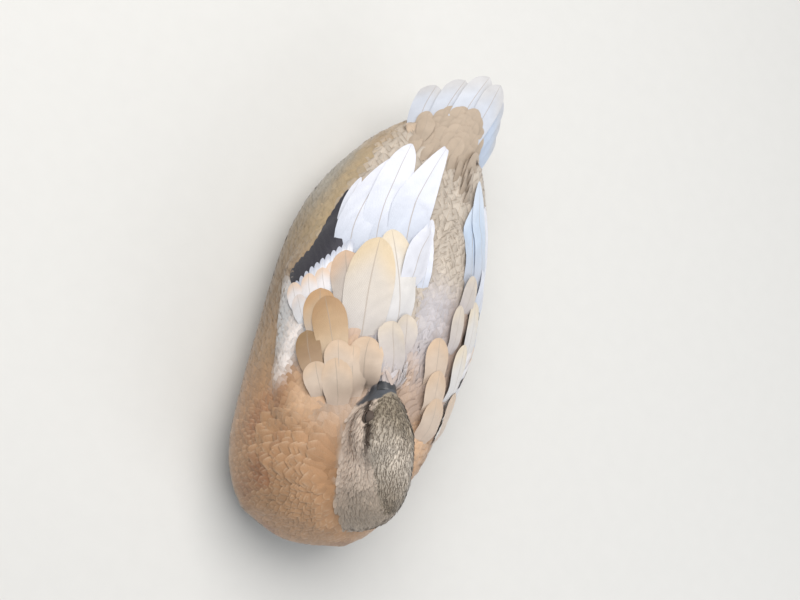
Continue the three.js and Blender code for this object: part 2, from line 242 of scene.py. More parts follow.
class DuckFootSettings(bpy.types.PropertyGroup):
    skin: colour_property("Foot", "Colour of the feet", "#c07a35")
    claw: colour_property("Claw", "Colour of the claws", "#4b3a2a")


class DuckStageSettings(bpy.types.PropertyGroup):
    floor: colour_property("Floor", "Colour of the floor", "#d6d4d0")
    distance: length_property("Camera distance", "From the duck to the camera", 1.4, 0.5, 5)
    lens: FloatProperty(name="Lens", description="Focal length in millimetres", default=72, min=20, max=300)
    key_power: FloatProperty(name="Key light", description="Power of the overhead light", default=32.64, unit="POWER")
    fill_power: FloatProperty(name="Fill light", description="Power of the side light", default=9, unit="POWER")


# ---- materials ----
class Nodes:
    """Builds a shader or node tree with few words."""

    def __init__(self, tree):
        self.tree = tree
        tree.nodes.clear()

    def add(self, kind, **values):
        node = self.tree.nodes.new(kind)
        for key, value in values.items():
            if hasattr(node, key):
                setattr(node, key, value)
            else:
                node.inputs[key].default_value = value
        return node

    def link(self, a, b):
        self.tree.links.new(a, b)

    def math(self, operation, a, b=None):
        node = self.tree.nodes.new("ShaderNodeMath")
        node.operation = operation
        for socket, value in zip(node.inputs, (a, b)):
            if value is None:
                continue
            if isinstance(value, (int, float)):
                socket.default_value = value
            else:
                self.link(value, socket)
        return node.outputs[0]

    def mix(self, share, a, b, blend="MIX"):
        node = self.tree.nodes.new("ShaderNodeMix")
        node.data_type = "RGBA"
        node.blend_type = blend
        for socket, value in ((node.inputs[0], share), (node.inputs[6], a), (node.inputs[7], b)):
            if isinstance(value, bpy.types.NodeSocket):
                self.link(value, socket)
            else:
                socket.default_value = value if isinstance(value, (int, float)) else (*value, 1)[:4]
        return node.outputs[2]

    def tint(self, colour, share):
        """A colour made lighter or darker by a share that changes over the surface."""
        spread = self.add("ShaderNodeCombineColor")
        for i in range(3):
            self.link(share, spread.inputs[i])
        return self.mix(1.0, colour, spread.outputs[0], "MULTIPLY")

    def bump(self, height, strength, distance, shader):
        node = self.add("ShaderNodeBump", Strength=strength, Distance=distance)
        self.link(height, node.inputs["Height"])
        self.link(node.outputs[0], shader.inputs["Normal"])


def barb_group():
    """Barbs, shaft and soft mottling of a feather's vane, from its own map: across 0 to 1 and along 0 to 1."""
    group = bpy.data.node_groups.new("feather_barbs", "ShaderNodeTree")
    face = group.interface
    face.new_socket("Vane", in_out="INPUT", socket_type="NodeSocketVector")
    for name, default in (("Barbs", 40.0), ("Slant", 0.5), ("Shaft width", 0.03), ("Mottle size", 160.0)):
        face.new_socket(name, in_out="INPUT", socket_type="NodeSocketFloat").default_value = default
    for name in ("Height", "Shaft", "Barb", "Mottle"):
        face.new_socket(name, in_out="OUTPUT", socket_type="NodeSocketFloat")
    n = Nodes(group)
    given = n.add("NodeGroupInput")
    given_out = {s.name: s for s in given.outputs}
    split = n.add("ShaderNodeSeparateXYZ")
    n.link(given_out["Vane"], split.inputs[0])
    across = n.math("ABSOLUTE", n.math("SUBTRACT", split.outputs[0], 0.5))
    slanted = n.math("SUBTRACT", split.outputs[1], n.math("MULTIPLY", across, given_out["Slant"]))
    place = n.add("ShaderNodeTexCoord").outputs["Object"]
    fine = n.add("ShaderNodeTexNoise", Scale=900.0, Detail=2.0)
    n.link(place, fine.inputs["Vector"])
    waver = n.math("MULTIPLY", fine.outputs["Fac"], 1.6)
    turn = n.math("ADD", n.math("MULTIPLY", slanted, given_out["Barbs"]), waver)
    barb = n.math("SINE", n.math("MULTIPLY", turn, 6.2832))
    barb = n.math("MULTIPLY", n.math("ADD", barb, 1.0), 0.5)
    shaft = n.math("LESS_THAN", across, given_out["Shaft width"])
    mottle = n.add("ShaderNodeTexNoise", Detail=3.0, Roughness=0.6)
    n.link(place, mottle.inputs["Vector"])
    n.link(given_out["Mottle size"], mottle.inputs["Scale"])
    out = n.add("NodeGroupOutput")
    sockets = {s.name: s for s in out.inputs}
    n.link(n.math("ADD", barb, n.math("MULTIPLY", shaft, 1.5)), sockets["Height"])
    n.link(shaft, sockets["Shaft"])
    n.link(barb, sockets["Barb"])
    n.link(mottle.outputs["Fac"], sockets["Mottle"])
    return group


def new_material(name, roughness, **fixed):
    material = bpy.data.materials.new(name)
    material.use_nodes = True
    n = Nodes(material.node_tree)
    shader = n.add("ShaderNodeBsdfPrincipled")
    shader.inputs["Roughness"].default_value = roughness
    for key, value in fixed.items():
        shader.inputs[key.replace("_", " ")].default_value = value
    out = n.add("ShaderNodeOutputMaterial")
    n.link(shader.outputs[0], out.inputs[0])
    return material, n, shader


def feather_material(name, barbs, shaft_width, shaft_colour, bump, barb_tone, mottle_tone, roughness):
    """A soft vane in its own Tone, with barbs and a shaft. barb_tone and mottle_tone say how strongly they show."""
    material, n, shader = new_material(name, roughness, Sheen_Weight=0.25, Sheen_Roughness=0.45)
    tone = n.add("ShaderNodeAttribute", attribute_name="Tone")
    vane = n.add("ShaderNodeUVMap", uv_map="Vane")
    group = n.add("ShaderNodeGroup")
    group.node_tree = bpy.data.node_groups.get("feather_barbs") or barb_group()
    n.link(vane.outputs[0], group.inputs["Vane"])
    group.inputs["Barbs"].default_value = barbs
    group.inputs["Shaft width"].default_value = shaft_width
    dim = n.math("SUBTRACT", 1.0, n.math("MULTIPLY", group.outputs["Barb"], barb_tone))
    mottled = n.math("ADD", n.math("MULTIPLY", n.math("SUBTRACT", group.outputs["Mottle"], 0.5), mottle_tone * 2), dim)
    colour = n.tint(tone.outputs["Color"], mottled)
    share = n.math("MULTIPLY", group.outputs["Shaft"], 0.6)
    n.link(n.mix(share, colour, shaft_colour), shader.inputs["Base Color"])
    n.bump(group.outputs["Height"], bump, 0.0003, shader)
    return material


def mottled_material(name, colour=None, size=300.0, amount=0.15, bump=0.2, roughness=0.6, **fixed):
    """A finish from one colour, or from the Tone attribute, with soft mottling and a fine grain."""
    material, n, shader = new_material(name, roughness, **fixed)
    place = n.add("ShaderNodeTexCoord").outputs["Object"]
    grain = n.add("ShaderNodeTexNoise", Scale=size, Detail=4.0)
    n.link(place, grain.inputs["Vector"])
    shade = n.math("ADD", 1.0 - amount, n.math("MULTIPLY", grain.outputs["Fac"], amount * 2))
    base = (*colour, 1) if colour is not None else n.add("ShaderNodeAttribute", attribute_name="Tone").outputs["Color"]
    n.link(n.tint(base, shade), shader.inputs["Base Color"])
    n.bump(grain.outputs["Fac"], bump, 0.0004, shader)
    return material



# ---- the skin ----
class Skin:
    """The skin as arrays, to find places on it."""

    def __init__(self):
        mesh = bpy.data.objects["skin"].data
        self.points, self.normals = mesh_arrays(mesh)
        self.faces = [tuple(p.vertices) for p in mesh.polygons]
        self.tree = BVHTree.FromPolygons(self.points.tolist(), self.faces)
        self.corners = np.array([f[:4] if len(f) > 3 else (*f, f[0]) for f in self.faces])
        self.region = np.zeros((len(self.points), len(FLESH)))
        for i, name in enumerate(FLESH):
            column = np.zeros(len(self.points), np.float32)
            mesh.attributes["in_" + name].data.foreach_get("value", column)
            self.region[:, i] = column

    def snap(self, points):
        """Nearest places on the skin: positions, smooth normals, shares of the body's regions."""
        found, index = [], []
        for p in points:
            place, _, face, _ = self.tree.find_nearest(p)
            found.append(place)
            index.append(face)
        corners = self.corners[index]
        return np.array(found), unit(self.normals[corners].mean(1)), self.region[corners].mean(1)

    def perch(self, y, turn, lift):
        """A place on the body: millimetres along, degrees over the back from the duck's right, millimetres up."""
        turn = math.radians(turn)
        out = Vector((-math.cos(turn), 0, math.sin(turn)))
        foot = Vector((0, y * MM, AXIS_HEIGHT))
        place, _, face, _ = self.tree.ray_cast(foot + out * 0.3, -out)
        if place is None:
            place, _, face, _ = self.tree.find_nearest(foot + out * 0.05)
        normal = unit(self.normals[self.corners[face]].mean(0))
        return np.array(place) + normal * lift * MM, normal


def flesh_copy(name, grow):
    """A copy of one of the body's solids, grown a little."""
    one = bmesh.new()
    one.from_mesh(frame["nodes"][name].data)
    bmesh.ops.remove_doubles(one, verts=one.verts, dist=1e-6)
    one.normal_update()
    for v in one.verts:
        v.co += v.normal * grow
    return one


def joined_flesh(voxel):
    """The body's solids joined in one mesh, and a tree of the faces of each."""
    points, faces, trees = [], [], {}
    for name in FLESH:
        one = flesh_copy(name, JOIN_GROWTH)
        start = len(points)
        points += [v.co.copy() for v in one.verts]
        faces += [tuple(v.index + start for v in f.verts) for f in one.faces]
        trees[name] = BVHTree.FromBMesh(one)
        one.free()
    rough = mesh_object("skin_rough", points, faces)
    remesh = rough.modifiers.new("join", "REMESH")
    remesh.mode = "VOXEL"
    remesh.voxel_size = voxel
    mesh = evaluated_mesh(rough)
    bpy.data.objects.remove(rough)
    mesh.name = "skin"
    return mesh, trees


def build_skin(body):
    """Joins the body's solids in one surface, smooths it and draws it in by the depth of the coat."""
    mesh, trees = joined_flesh(body.skin_voxel)
    edges = np.zeros(len(mesh.edges) * 2, int)
    mesh.edges.foreach_get("vertices", edges)
    edges = edges.reshape(-1, 2)
    count = np.zeros(len(mesh.vertices))
    np.add.at(count, edges.ravel(), 1)

    def relax(values, times):
        """Evens out values on the skin's points with their neighbours'."""
        for _ in range(times):
            total = np.zeros_like(values)
            np.add.at(total, edges[:, 0], values[edges[:, 1]])
            np.add.at(total, edges[:, 1], values[edges[:, 0]])
            values = values * 0.5 + total / count[:, None] * 0.5
        return values

    points, _ = mesh_arrays(mesh)
    region = np.zeros((len(points), len(FLESH)))
    for i, p in enumerate(points):
        reach = [trees[name].find_nearest(p)[3] for name in FLESH]
        region[i, int(np.argmin(reach))] = 1
    region = relax(region, 3)
    points = relax(points, 6)
    # where the head meets the rest, the surface is smoothed more
    soft = np.clip(region[:, HEAD_PARTS].min(1, keepdims=True) * 6, 0, 1)
    for _ in range(5):
        soft = np.maximum(soft, relax(soft, 2) * 1.15)
    points = mix(points, relax(points, 24), np.clip(soft[:, 0], 0, 1))
    mesh.vertices.foreach_set("co", points.ravel())
    mesh.update()
    points, normals = mesh_arrays(mesh)
    normals = unit(relax(normals, 4))
    head_share = region[:, HEAD] + region[:, NECK] * 0.3
    depth = body.coat_depth + JOIN_GROWTH + (body.head_coat_depth - body.coat_depth) * head_share
    points = points - normals * depth[:, None]
    points = relax(points, 2)
    mesh.vertices.foreach_set("co", points.ravel())
    shade_smooth(mesh)
    mesh.update()
    for i, name in enumerate(FLESH):
        mesh.attributes.new("in_" + name, "FLOAT", "POINT").data.foreach_set("value", region[:, i])
    skin = add_object("skin", mesh)
    tone, _, _ = markings(points, region)
    paint(mesh, "Tone", tone * 0.85)
    mesh.materials.append(mottled_material("duck_skin", amount=0.2, bump=0.5, roughness=0.8))
    return finish_piece(skin, "breast_feathers", *FLESH)


def body_angle(points):
    """Degrees round the body's axis: 0 level with it, 90 at the top and -90 underneath."""
    return np.degrees(np.arctan2(points[:, 2] - AXIS_HEIGHT, np.abs(points[:, 0])))


# Shades of the coat besides the colours in the settings.
SHADES = {
    name: rgb(code)
    for name, code in {
        "breast mottle": "#8a5a3a",
        # the lower breast: its own dark brown feathers together with painted shade beneath the body
        "low breast feathers and shade": "#4e3826",
        "khaki flank": "#b09d7a",
        # painted shade on the flank's lower side, which is turned away from the light
        "shaded low flank": "#7c6b55",
        "pale edge": "#e4dad4",
        "beside head": "#b59c88",
        "beside head tips": "#c0a995",
        "rear flank": "#a29c90",
        "tail base": "#cdb092",
        "breast tips": "#d8c3aa",
        "back tips": "#7f6c59",
        "covert tips": "#d9bda6",
        "fluff tips": "#d3c8c0",
        "left shoulder": "#ab9484",
        "front crown": "#7f7056",
        "bare face": "#55585e",
    }.items()
}


def markings(points, region):
    """Colours of the feathers rooted at these points: all over, at the tip and down the middle."""
    body = bpy.context.scene.duck_body
    head = bpy.context.scene.duck_head
    x, y, _ = (points / MM).T
    angle = body_angle(points)
    share = {name: region[:, i] for i, name in enumerate(FLESH)}
    cloud = waves(points, 0.03, 3)
    fine = waves(points, 0.008, 5)

    front = ramp(-y, 60, 150)
    tone = mix(np.array(body.breast), np.array(body.breast_edge), ramp(-angle, -12, 14) * front)
    mottle = np.clip(cloud * 1.3 + 0.25, 0, 1) * front * 0.8
    tone = mix(tone, SHADES["breast mottle"], mottle * ramp(angle, 0, 30) * (1 - ramp(angle, 42, 60)))
    # the lower breast is darkened: partly its own dark feathers, partly painted shade from the body above it
    low = ramp(-angle, -3, 20) * front
    tone = mix(tone, SHADES["low breast feathers and shade"], low * 0.9)
    flank = ramp(y, -115, -70) * (1 - ramp(angle, 28, 36))
    tone = mix(tone, body.flank, flank)
    khaki = ramp(y, -10, 50) * (1 - ramp(y, 120, 160)) * (1 - ramp(angle, 28, 40)) * 0.65
    tone = mix(tone, SHADES["khaki flank"], khaki)
    # painted shade: the flank's lower side, turned away from the light, is darkened
    shade = (1 - ramp(angle, 2, 26)) * ramp(y, -70, -10) * (1 - ramp(y, 110, 160))
    tone = mix(tone, SHADES["shaded low flank"], shade * 0.6)
    edge = ramp(angle, 24, 31) * ramp(y, -110, -80) * (1 - ramp(angle, 34, 40)) * (1 - ramp(y, 60, 90))
    tone = mix(tone, SHADES["pale edge"], edge)
    mantle = ramp(angle, 38, 50) * (1 - ramp(y, -55, -20)) * ramp(y, -135, -95)
    tone = mix(tone, body.mantle, mantle)
    beside = ramp(angle, 54, 66) * (1 - ramp(angle, 84, 100)) * ramp(y, -126, -104) * (1 - ramp(y, -60, -30))
    tone = mix(tone, SHADES["beside head"], beside)
    back = ramp(y, -50, -10) * ramp(angle, 24, 36)
    tone = mix(tone, body.rump, back)
    rear = ramp(y, 40, 90) * (1 - ramp(angle, 6, 24)) * (1 - ramp(y, 130, 160))
    tone = mix(tone, SHADES["rear flank"], rear * 0.7 * ramp(angle, -30, -5))
    under = 1 - ramp(angle, -40, -20)
    tone = mix(tone, body.belly, under * 0.9 * ramp(y, -130, -60))
    tone = mix(tone, body.vent, ramp(y, 120, 170) * (1 - ramp(angle, 24, 50)))
    tongue = ramp(y, 150, 185) * ramp(angle, 30, 50)
    tone = mix(tone, SHADES["tail base"], tongue)
    tip = mix(tone * 0.9, mix(tone, SHADES["breast tips"], np.full(len(y), 0.4)), front)
    tip = mix(tip, SHADES["beside head tips"], beside)
    tip = mix(tip, SHADES["back tips"], back * 0.9 * (1 - tongue))
    coverts = (share["wing_left"] + share["wing_right"]) * ramp(y, -92, -58) * (1 - ramp(y, -14, 2))
    tone = mix(tone, body.covert, coverts * (1 - edge))
    tip = mix(tip, mix(np.array(body.covert) * 0.86, SHADES["covert tips"], ramp(y, -40, 5)), coverts)
    loose = share["bill_cover"]
    tone = mix(tone, body.fluff, loose)
    tip = mix(tip, SHADES["fluff tips"], loose)
    blades = (share["scapulars_left"] + share["scapulars_right"]) * (1 - ramp(y, 5, 45))
    soft = mix(np.array(body.mantle), SHADES["left shoulder"], ramp(x, 8, 28))
    pale = mix(soft, np.array(body.fluff), ramp(y, -75, -20) * ramp(np.abs(x), 60, 20))
    tone = mix(tone, pale, blades)
    tip = mix(tip, pale * 1.04, blades)
    middle = tone

    # the head, in its own frame
    on_head = np.clip((share["head"] + share["neck"]) * 1.6, 0, 1)
    u, v, w = (to_head(points) / MM).T
    crown = ramp(w + 0.2 * np.clip(-v - 10, 0, 60), 5.0, 9.0)
    nape = ramp(-v, 28, 70)
    front_crown = ramp(v, -26, 6)
    head_tone = mix(np.array(head.cheek), np.array(head.crown_pale), crown)
    head_tone = mix(head_tone, head.nape, nape * (0.6 + 0.4 * crown))
    head_tone = mix(head_tone, SHADES["front crown"], crown * front_crown * 0.7)
    line = np.interp(-v, [-20, -14, 0, 11, 21, 40], [-3, -0.3, 4, 7, 3.7, -6])
    stripe = np.exp(-(((w - line) / 3.2) ** 2)) * ramp(np.abs(u), 5, 11)
    stripe *= np.interp(-v, [10, 16, 26, 46], [1, 0.8, 0.5, 0])
    streak = crown * (0.85 + 0.3 * front_crown) * (1 - 0.4 * nape) + 0.05 + 0.3 * nape
    head_tip = head_tone * 1.08
    head_middle = mix(head_tone, head.crown_dark, np.clip(streak + 0.1 * fine, 0, 1))
    bare = bare_face(points)
    head_tone, head_tip, head_middle = (
        mix(mix(c, head.stripe, np.clip(stripe * 1.5, 0, 1)), SHADES["bare face"], bare)
        for c in (head_tone, head_tip, head_middle)
    )
    tone = mix(tone, head_tone, on_head)
    tip = mix(tip, head_tip, on_head)
    middle = mix(middle, head_middle, on_head)
    glow = (1 + 0.06 * cloud + 0.04 * fine)[:, None]
    return tone * glow, tip * glow, middle * glow


def bare_face(points):
    """1 where the bill's bare base reaches up the side of the face."""
    _, v, w = (to_head(points) / MM).T
    return ramp(v - 17 - 9 * ramp(w, 7, 11), -0.7, 0.7)


def to_head(points):
    inverse = np.array(HEAD_FRAME.inverted())
    return points @ inverse[:3, :3].T + inverse[:3, 3]


def lie_of(points, normals, region):
    """The direction in which the feathers at these points lie."""
    on_head = region[:, HEAD] + region[:, NECK]
    y = points[:, 1]
    spread = unit(points - np.array(COAT_SOURCE))
    back = ramp(y, -0.17, -0.05)[:, None]
    flow = spread * (1 - 0.7 * back) + np.array([0, 1.0, 0]) * (back * 1.3 + 0.1)
    under = (1 - ramp(points[:, 2], 0.015, 0.05))[:, None]
    flow = flow + np.array([0, 0.8, 0]) * under
    away = unit(points - np.array(BILL_BASE)) + np.array(HEAD_FRAME.to_3x3() @ Vector((0, -0.6, 0)))
    flow = mix(flow, unit(away), np.clip(on_head * 1.4, 0, 1))
    return square_to(flow, normals)


# ---- feathers ----
class Vane:
    """A closed flat feather: an upper sheet of columns and rows, and a lower sheet that shares its rim."""

    def __init__(self, across, rows, crowd=1.0):
        columns = len(across)
        self.rows = rows
        self.stations = 1 - (1 - np.linspace(0, 1, rows)) ** crowd
        place = [(c, r, 0) for r in range(rows) for c in range(columns)]
        place += [(c, r, 1) for r in range(1, rows - 1) for c in range(1, columns - 1)]
        where = {p: i for i, p in enumerate(place)}

        def lower(c, r):
            return where.get((c, r, 1), where[(c, r, 0)])

        self.faces = []
        for r in range(rows - 1):
            for c in range(columns - 1):
                around = ((c, r), (c + 1, r), (c + 1, r + 1), (c, r + 1))
                self.faces.append([where[(*p, 0)] for p in around])
                self.faces.append([lower(*around[k]) for k in (0, 3, 2, 1)])
        self.column = np.array([p[0] for p in place])
        self.row = np.array([p[1] for p in place])
        self.under = np.array([p[2] for p in place])
        self.across = np.array(across)[self.column]
        self.along = self.stations[self.row]

    def __len__(self):
        return len(self.row)


BODY_VANE = Vane((-1, -0.5, 0, 0.5, 1), 6, 1.3)
HEAD_VANE = Vane((-1, 0, 1), 5, 1.2)
LARGE_VANE = Vane((-1, -0.72, -0.4, -0.12, 0, 0.12, 0.4, 0.72, 1), 20, 1.5)


def vane_outline(along, root, start, power, fall, least=0.1):
    """Half width of a vane along its length, as a share of the widest: it narrows from start to the tip."""
    swell = root + (1 - root) * np.sin(np.clip(along / start, 0, 1) * np.pi / 2)
    late = np.clip((along - start) / (1 - start), 0, 1)
    return swell * np.maximum((1 - late**power) ** fall, least)


def place_vanes(pattern, middle, ahead, out, half, thick, camber, round_tip, outline, ragged):
    """Points of many vanes. middle, ahead and out are (feathers, rows, 3); half and thick are (feathers,)."""
    side = unit(np.cross(ahead, out))
    u, t, row = pattern.across, pattern.along, pattern.row
    width = outline[None] * half[:, None]
    back = (ragged - (round_tip * u**2 * t**3)[None]) * half[:, None]
    drop = -camber * (u**2)[None] * width
    down = -(pattern.under * (1 - 0.6 * np.abs(u)))[None] * thick[:, None]
    place = middle[:, row]
    place = place + side[:, row] * (u[None] * width)[..., None]
    place = place + ahead[:, row] * back[..., None]
    return place + out[:, row] * (drop + down)[..., None]


def track_skin(skin, root, lie, length, stations, stiffness):
    """Middle lines that follow the skin from root along lie, with their directions and normals."""
    place, normal, _ = skin.snap(root)
    ahead = square_to(lie, normal)
    straight_from, straight_by = place.copy(), ahead.copy()
    middles, aheads, outs = [place], [ahead], [normal]
    for share, step in zip(stations[1:], np.diff(stations)):
        guess = place + ahead * length[:, None] * step
        place, normal, _ = skin.snap(guess)
        straight = straight_from + straight_by * length[:, None] * share
        ahead = square_to(ahead, normal)
        middles.append(place * (1 - stiffness) + straight * stiffness)
        aheads.append(ahead)
        outs.append(normal)
    return np.stack(middles, 1), np.stack(aheads, 1), np.stack(outs, 1)


def lift_off(middle, out, low, high, power):
    """Raises the middle lines from low at the root to high at the tip."""
    t = np.linspace(0, 1, middle.shape[1]) ** power
    return middle + out * (low[:, None] + (high - low)[:, None] * t[None])[..., None]


def join_vanes(name, pattern, places, tones, material, patches=None, shading=None):
    """One mesh of many vanes. places is (feathers, points, 3), tones the same for colour and shading for normals."""
    many, points = places.shape[:2]
    places = places.reshape(-1, 3)
    places[:, 2] = np.maximum(places[:, 2], FLOOR_GAP)
    faces = (np.array(pattern.faces)[None] + (np.arange(many) * points)[:, None, None]).reshape(-1, 4)
    mesh = bpy.data.meshes.new(name)
    mesh.vertices.add(len(places))
    mesh.vertices.foreach_set("co", places.ravel())
    mesh.loops.add(faces.size)
    mesh.loops.foreach_set("vertex_index", faces.ravel())
    mesh.polygons.add(len(faces))
    mesh.polygons.foreach_set("loop_start", np.arange(0, faces.size, 4))
    mesh.polygons.foreach_set("loop_total", np.full(len(faces), 4))
    shade_smooth(mesh)
    mesh.update(calc_edges=True)
    paint(mesh, "Tone", tones.reshape(-1, 3))
    own = np.stack([pattern.across * 0.5 + 0.5, pattern.along], 1)
    loops = faces.ravel()
    if patches is not None:
        bake = patches[:, None] + (own - 0.5)[None] * BAKE_PATCH
        layer = mesh.uv_layers.new(name="OFBake")
        layer.data.foreach_set("uv", bake.reshape(-1, 2)[loops].ravel())
    layer = mesh.uv_layers.new(name="Vane")
    layer.data.foreach_set("uv", np.tile(own, (many, 1))[loops].ravel())
    mesh.materials.append(material)
    if shading is not None:
        corner = shading.reshape(-1, 3)[loops].reshape(many, -1, 4, 3)
        corner[:, 1::2] *= -1
        mesh.normals_split_custom_set(corner.reshape(-1, 3).tolist())
    return add_object(name, mesh)


def vane_shading(pattern, ahead, out):
    """Normals of vanes that follow the body's form, with a little of each vane's own curve."""
    side = unit(np.cross(ahead, out))
    row, bulge = pattern.row, 0.25
    return unit(out[:, row] + side[:, row] * (bulge * pattern.across)[None, :, None])


def scatter_tree():
    """Geometry Nodes that scatter a feather over a bed, each turned to lie along it."""
    tree = bpy.data.node_groups.new("lay_feathers", "GeometryNodeTree")
    kinds = {"Bed": "Geometry", "Feather": "Object", "Spacing": "Float", "Seed": "Int", "Finish": "Material"}
    for name, kind in kinds.items():
        tree.interface.new_socket(name, in_out="INPUT", socket_type="NodeSocket" + kind)
    tree.interface.new_socket("Coat", in_out="OUTPUT", socket_type="NodeSocketGeometry")
    n = Nodes(tree)
    given = {s.name: s for s in n.add("NodeGroupInput").outputs}
    scatter = n.add("GeometryNodeDistributePointsOnFaces", distribute_method="POISSON")
    n.link(given["Bed"], scatter.inputs["Mesh"])
    n.link(given["Spacing"], scatter.inputs["Distance Min"])
    n.link(given["Seed"], scatter.inputs["Seed"])
    scatter.inputs["Density Max"].default_value = 400000  # high enough for the spacing alone to thin them
    lie = n.add("GeometryNodeInputNamedAttribute", data_type="FLOAT_VECTOR")
    lie.inputs["Name"].default_value = "lie"
    turn = n.add("FunctionNodeAxesToRotation", primary_axis="Z", secondary_axis="Y")
    n.link(scatter.outputs["Normal"], turn.inputs["Primary Axis"])
    n.link(lie.outputs["Attribute"], turn.inputs["Secondary Axis"])
    feather = n.add("GeometryNodeObjectInfo")
    n.link(given["Feather"], feather.inputs["Object"])
    lay = n.add("GeometryNodeInstanceOnPoints")
    n.link(scatter.outputs["Points"], lay.inputs["Points"])
    n.link(feather.outputs["Geometry"], lay.inputs["Instance"])
    n.link(turn.outputs["Rotation"], lay.inputs["Rotation"])
    solid = n.add("GeometryNodeRealizeInstances")
    n.link(lay.outputs["Instances"], solid.inputs["Geometry"])
    dress = n.add("GeometryNodeSetMaterial")
    n.link(solid.outputs["Geometry"], dress.inputs["Geometry"])
    n.link(given["Finish"], dress.inputs["Material"])
    out = n.add("NodeGroupOutput")
    n.link(dress.outputs["Geometry"], out.inputs["Coat"])
    return tree


def scatter_roots(skin, chosen, spacing, seed, pattern, material, on_head):
    """Roots and lie of feathers scattered over the chosen faces of the skin."""
    used = np.unique(skin.corners[chosen])
    new = np.full(len(skin.points), -1)
    new[used] = np.arange(len(used))
    faces = [tuple(new[list(skin.faces[i])]) for i in np.flatnonzero(chosen)]
    bed = mesh_object("bed", skin.points[used], faces)
    region = skin.region[used]
    if not on_head:
        region[:, HEAD_PARTS] = 0
    lie = lie_of(skin.points[used], skin.normals[used], region)
    bed.data.attributes.new("lie", "FLOAT_VECTOR", "POINT").data.foreach_set("vector", lie.ravel())
    one = mesh_object(
        "one_feather", np.stack([pattern.across * 0.2, pattern.along, pattern.under * -0.01], 1) * MM, pattern.faces
    )
    tree = bpy.data.node_groups.get("lay_feathers") or scatter_tree()
    layer = bed.modifiers.new("coat", "NODES")
    layer.node_group = tree
    keys = {s.name: s.identifier for s in tree.interface.items_tree if s.in_out == "INPUT"}
    layer[keys["Feather"]] = one
    layer[keys["Spacing"]] = spacing
    layer[keys["Seed"]] = seed
    layer[keys["Finish"]] = material
    mesh = evaluated_mesh(bed)
    points, _ = mesh_arrays(mesh)
    points = points.reshape(-1, len(pattern), 3)
    first = points[:, pattern.along == 0].mean(1)
    last = points[:, pattern.along == 1].mean(1)
    bpy.data.meshes.remove(mesh)
    bpy.data.objects.remove(bed)
    bpy.data.objects.remove(one)
    return first, unit(last - first)


# Parts of the coat: spacing, length, width and rise in millimetres, loose turn, slot and vane.
COATS = {
    "head": (1.8, 7.0, 2.5, 1.4, 0.20, "head_feathers", HEAD_VANE),
    "neck": (2.1, 9, 3.6, 1.6, 0.16, "head_feathers", HEAD_VANE),
    "breast": (3.1, 15, 10, 1.5, 0.12, "breast_feathers", BODY_VANE),
    "mantle": (4.4, 22, 15, 1.6, 0.10, "back_feathers", BODY_VANE),
    "flanks": (3.6, 18, 11, 1.6, 0.10, "breast_feathers", BODY_VANE),
    "belly": (5.0, 19, 14, 1.6, 0.12, "breast_feathers", BODY_VANE),
    "fluff": (2.6, 15, 4.0, 3.0, 0.30, "back_feathers", BODY_VANE),
    "back": (4.0, 18, 12, 2.0, 0.12, "back_feathers", BODY_VANE),
    "rump": (5.4, 20, 16.5, 2.4, 0.10, "back_feathers", BODY_VANE),
    "vent": (3.8, 22, 11, 2.6, 0.14, "breast_feathers", BODY_VANE),
    "wing_coverts": (3.7, 13, 10, 2.0, 0.12, "back_feathers", BODY_VANE),
}


def coat_part(skin):
    """For each face of the skin, the name of the part of the coat on it."""
    centre = skin.points[skin.corners].mean(1)
    normal = unit(skin.normals[skin.corners].mean(1))
    region = skin.region[skin.corners].mean(1)
    main = np.array([FLESH[i] for i in region.argmax(1)], dtype=object)
    y, angle = centre[:, 1] / MM, body_angle(centre)
    part = np.full(len(centre), "flanks", dtype=object)
    part[y < -95] = "breast"
    part[(y < -75) & (y > -150) & (angle > 38)] = "mantle"
    part[(angle > 34) & (y > -95)] = "back"
    part[(y > 88) & (angle > 20)] = "rump"
    part[(y > 140) & (angle <= 20)] = "vent"
    part[(normal[:, 2] < -0.55) & (y > -150) & (y <= 140)] = "belly"
    part[np.isin(main, ["scapulars_left", "scapulars_right"])] = "back"
    part[main == "bill_cover"] = "fluff"
    part[(np.abs(centre[:, 0] / MM - 14) < 24) & (np.abs(y + 38) < 24) & (angle > 50)] = "fluff"
    part[np.isin(main, ["wing_left", "wing_right"])] = "wing_coverts"
    part[main == "neck"] = "neck"
    part[main == "head"] = "head"
    return part


def bake_places(places, on_head):
    """Where each root lies on an unwrap of the part: the body or the head rolled out flat round its own axis."""
    x, along, z = to_head(places).T if on_head else (places - np.array([0, 0, AXIS_HEIGHT])).T
    flat = np.stack([np.arctan2(x, z), along], 1)
    low, high = flat.min(0), flat.max(0)
    return 0.01 + 0.98 * (flat - low) / (high - low)


def large_feather_tree():
    """The large feathers as one tree of faces, to find what they cover."""
    points, faces = [], []
    for piece in bpy.data.objects:
        if piece.name.endswith(("_vanes", "_plumes")):
            start = len(points)
            points += mesh_arrays(piece.data)[0].tolist()
            faces += [[v + start for v in p.vertices] for p in piece.data.polygons]
    return BVHTree.FromPolygons(points, faces)


def covered(tree, points, normals, reach=0.014):
    """True where a large feather lies just above the point."""
    return np.array([tree.ray_cast(p, n, reach)[0] is not None for p, n in zip(points.tolist(), normals.tolist())])


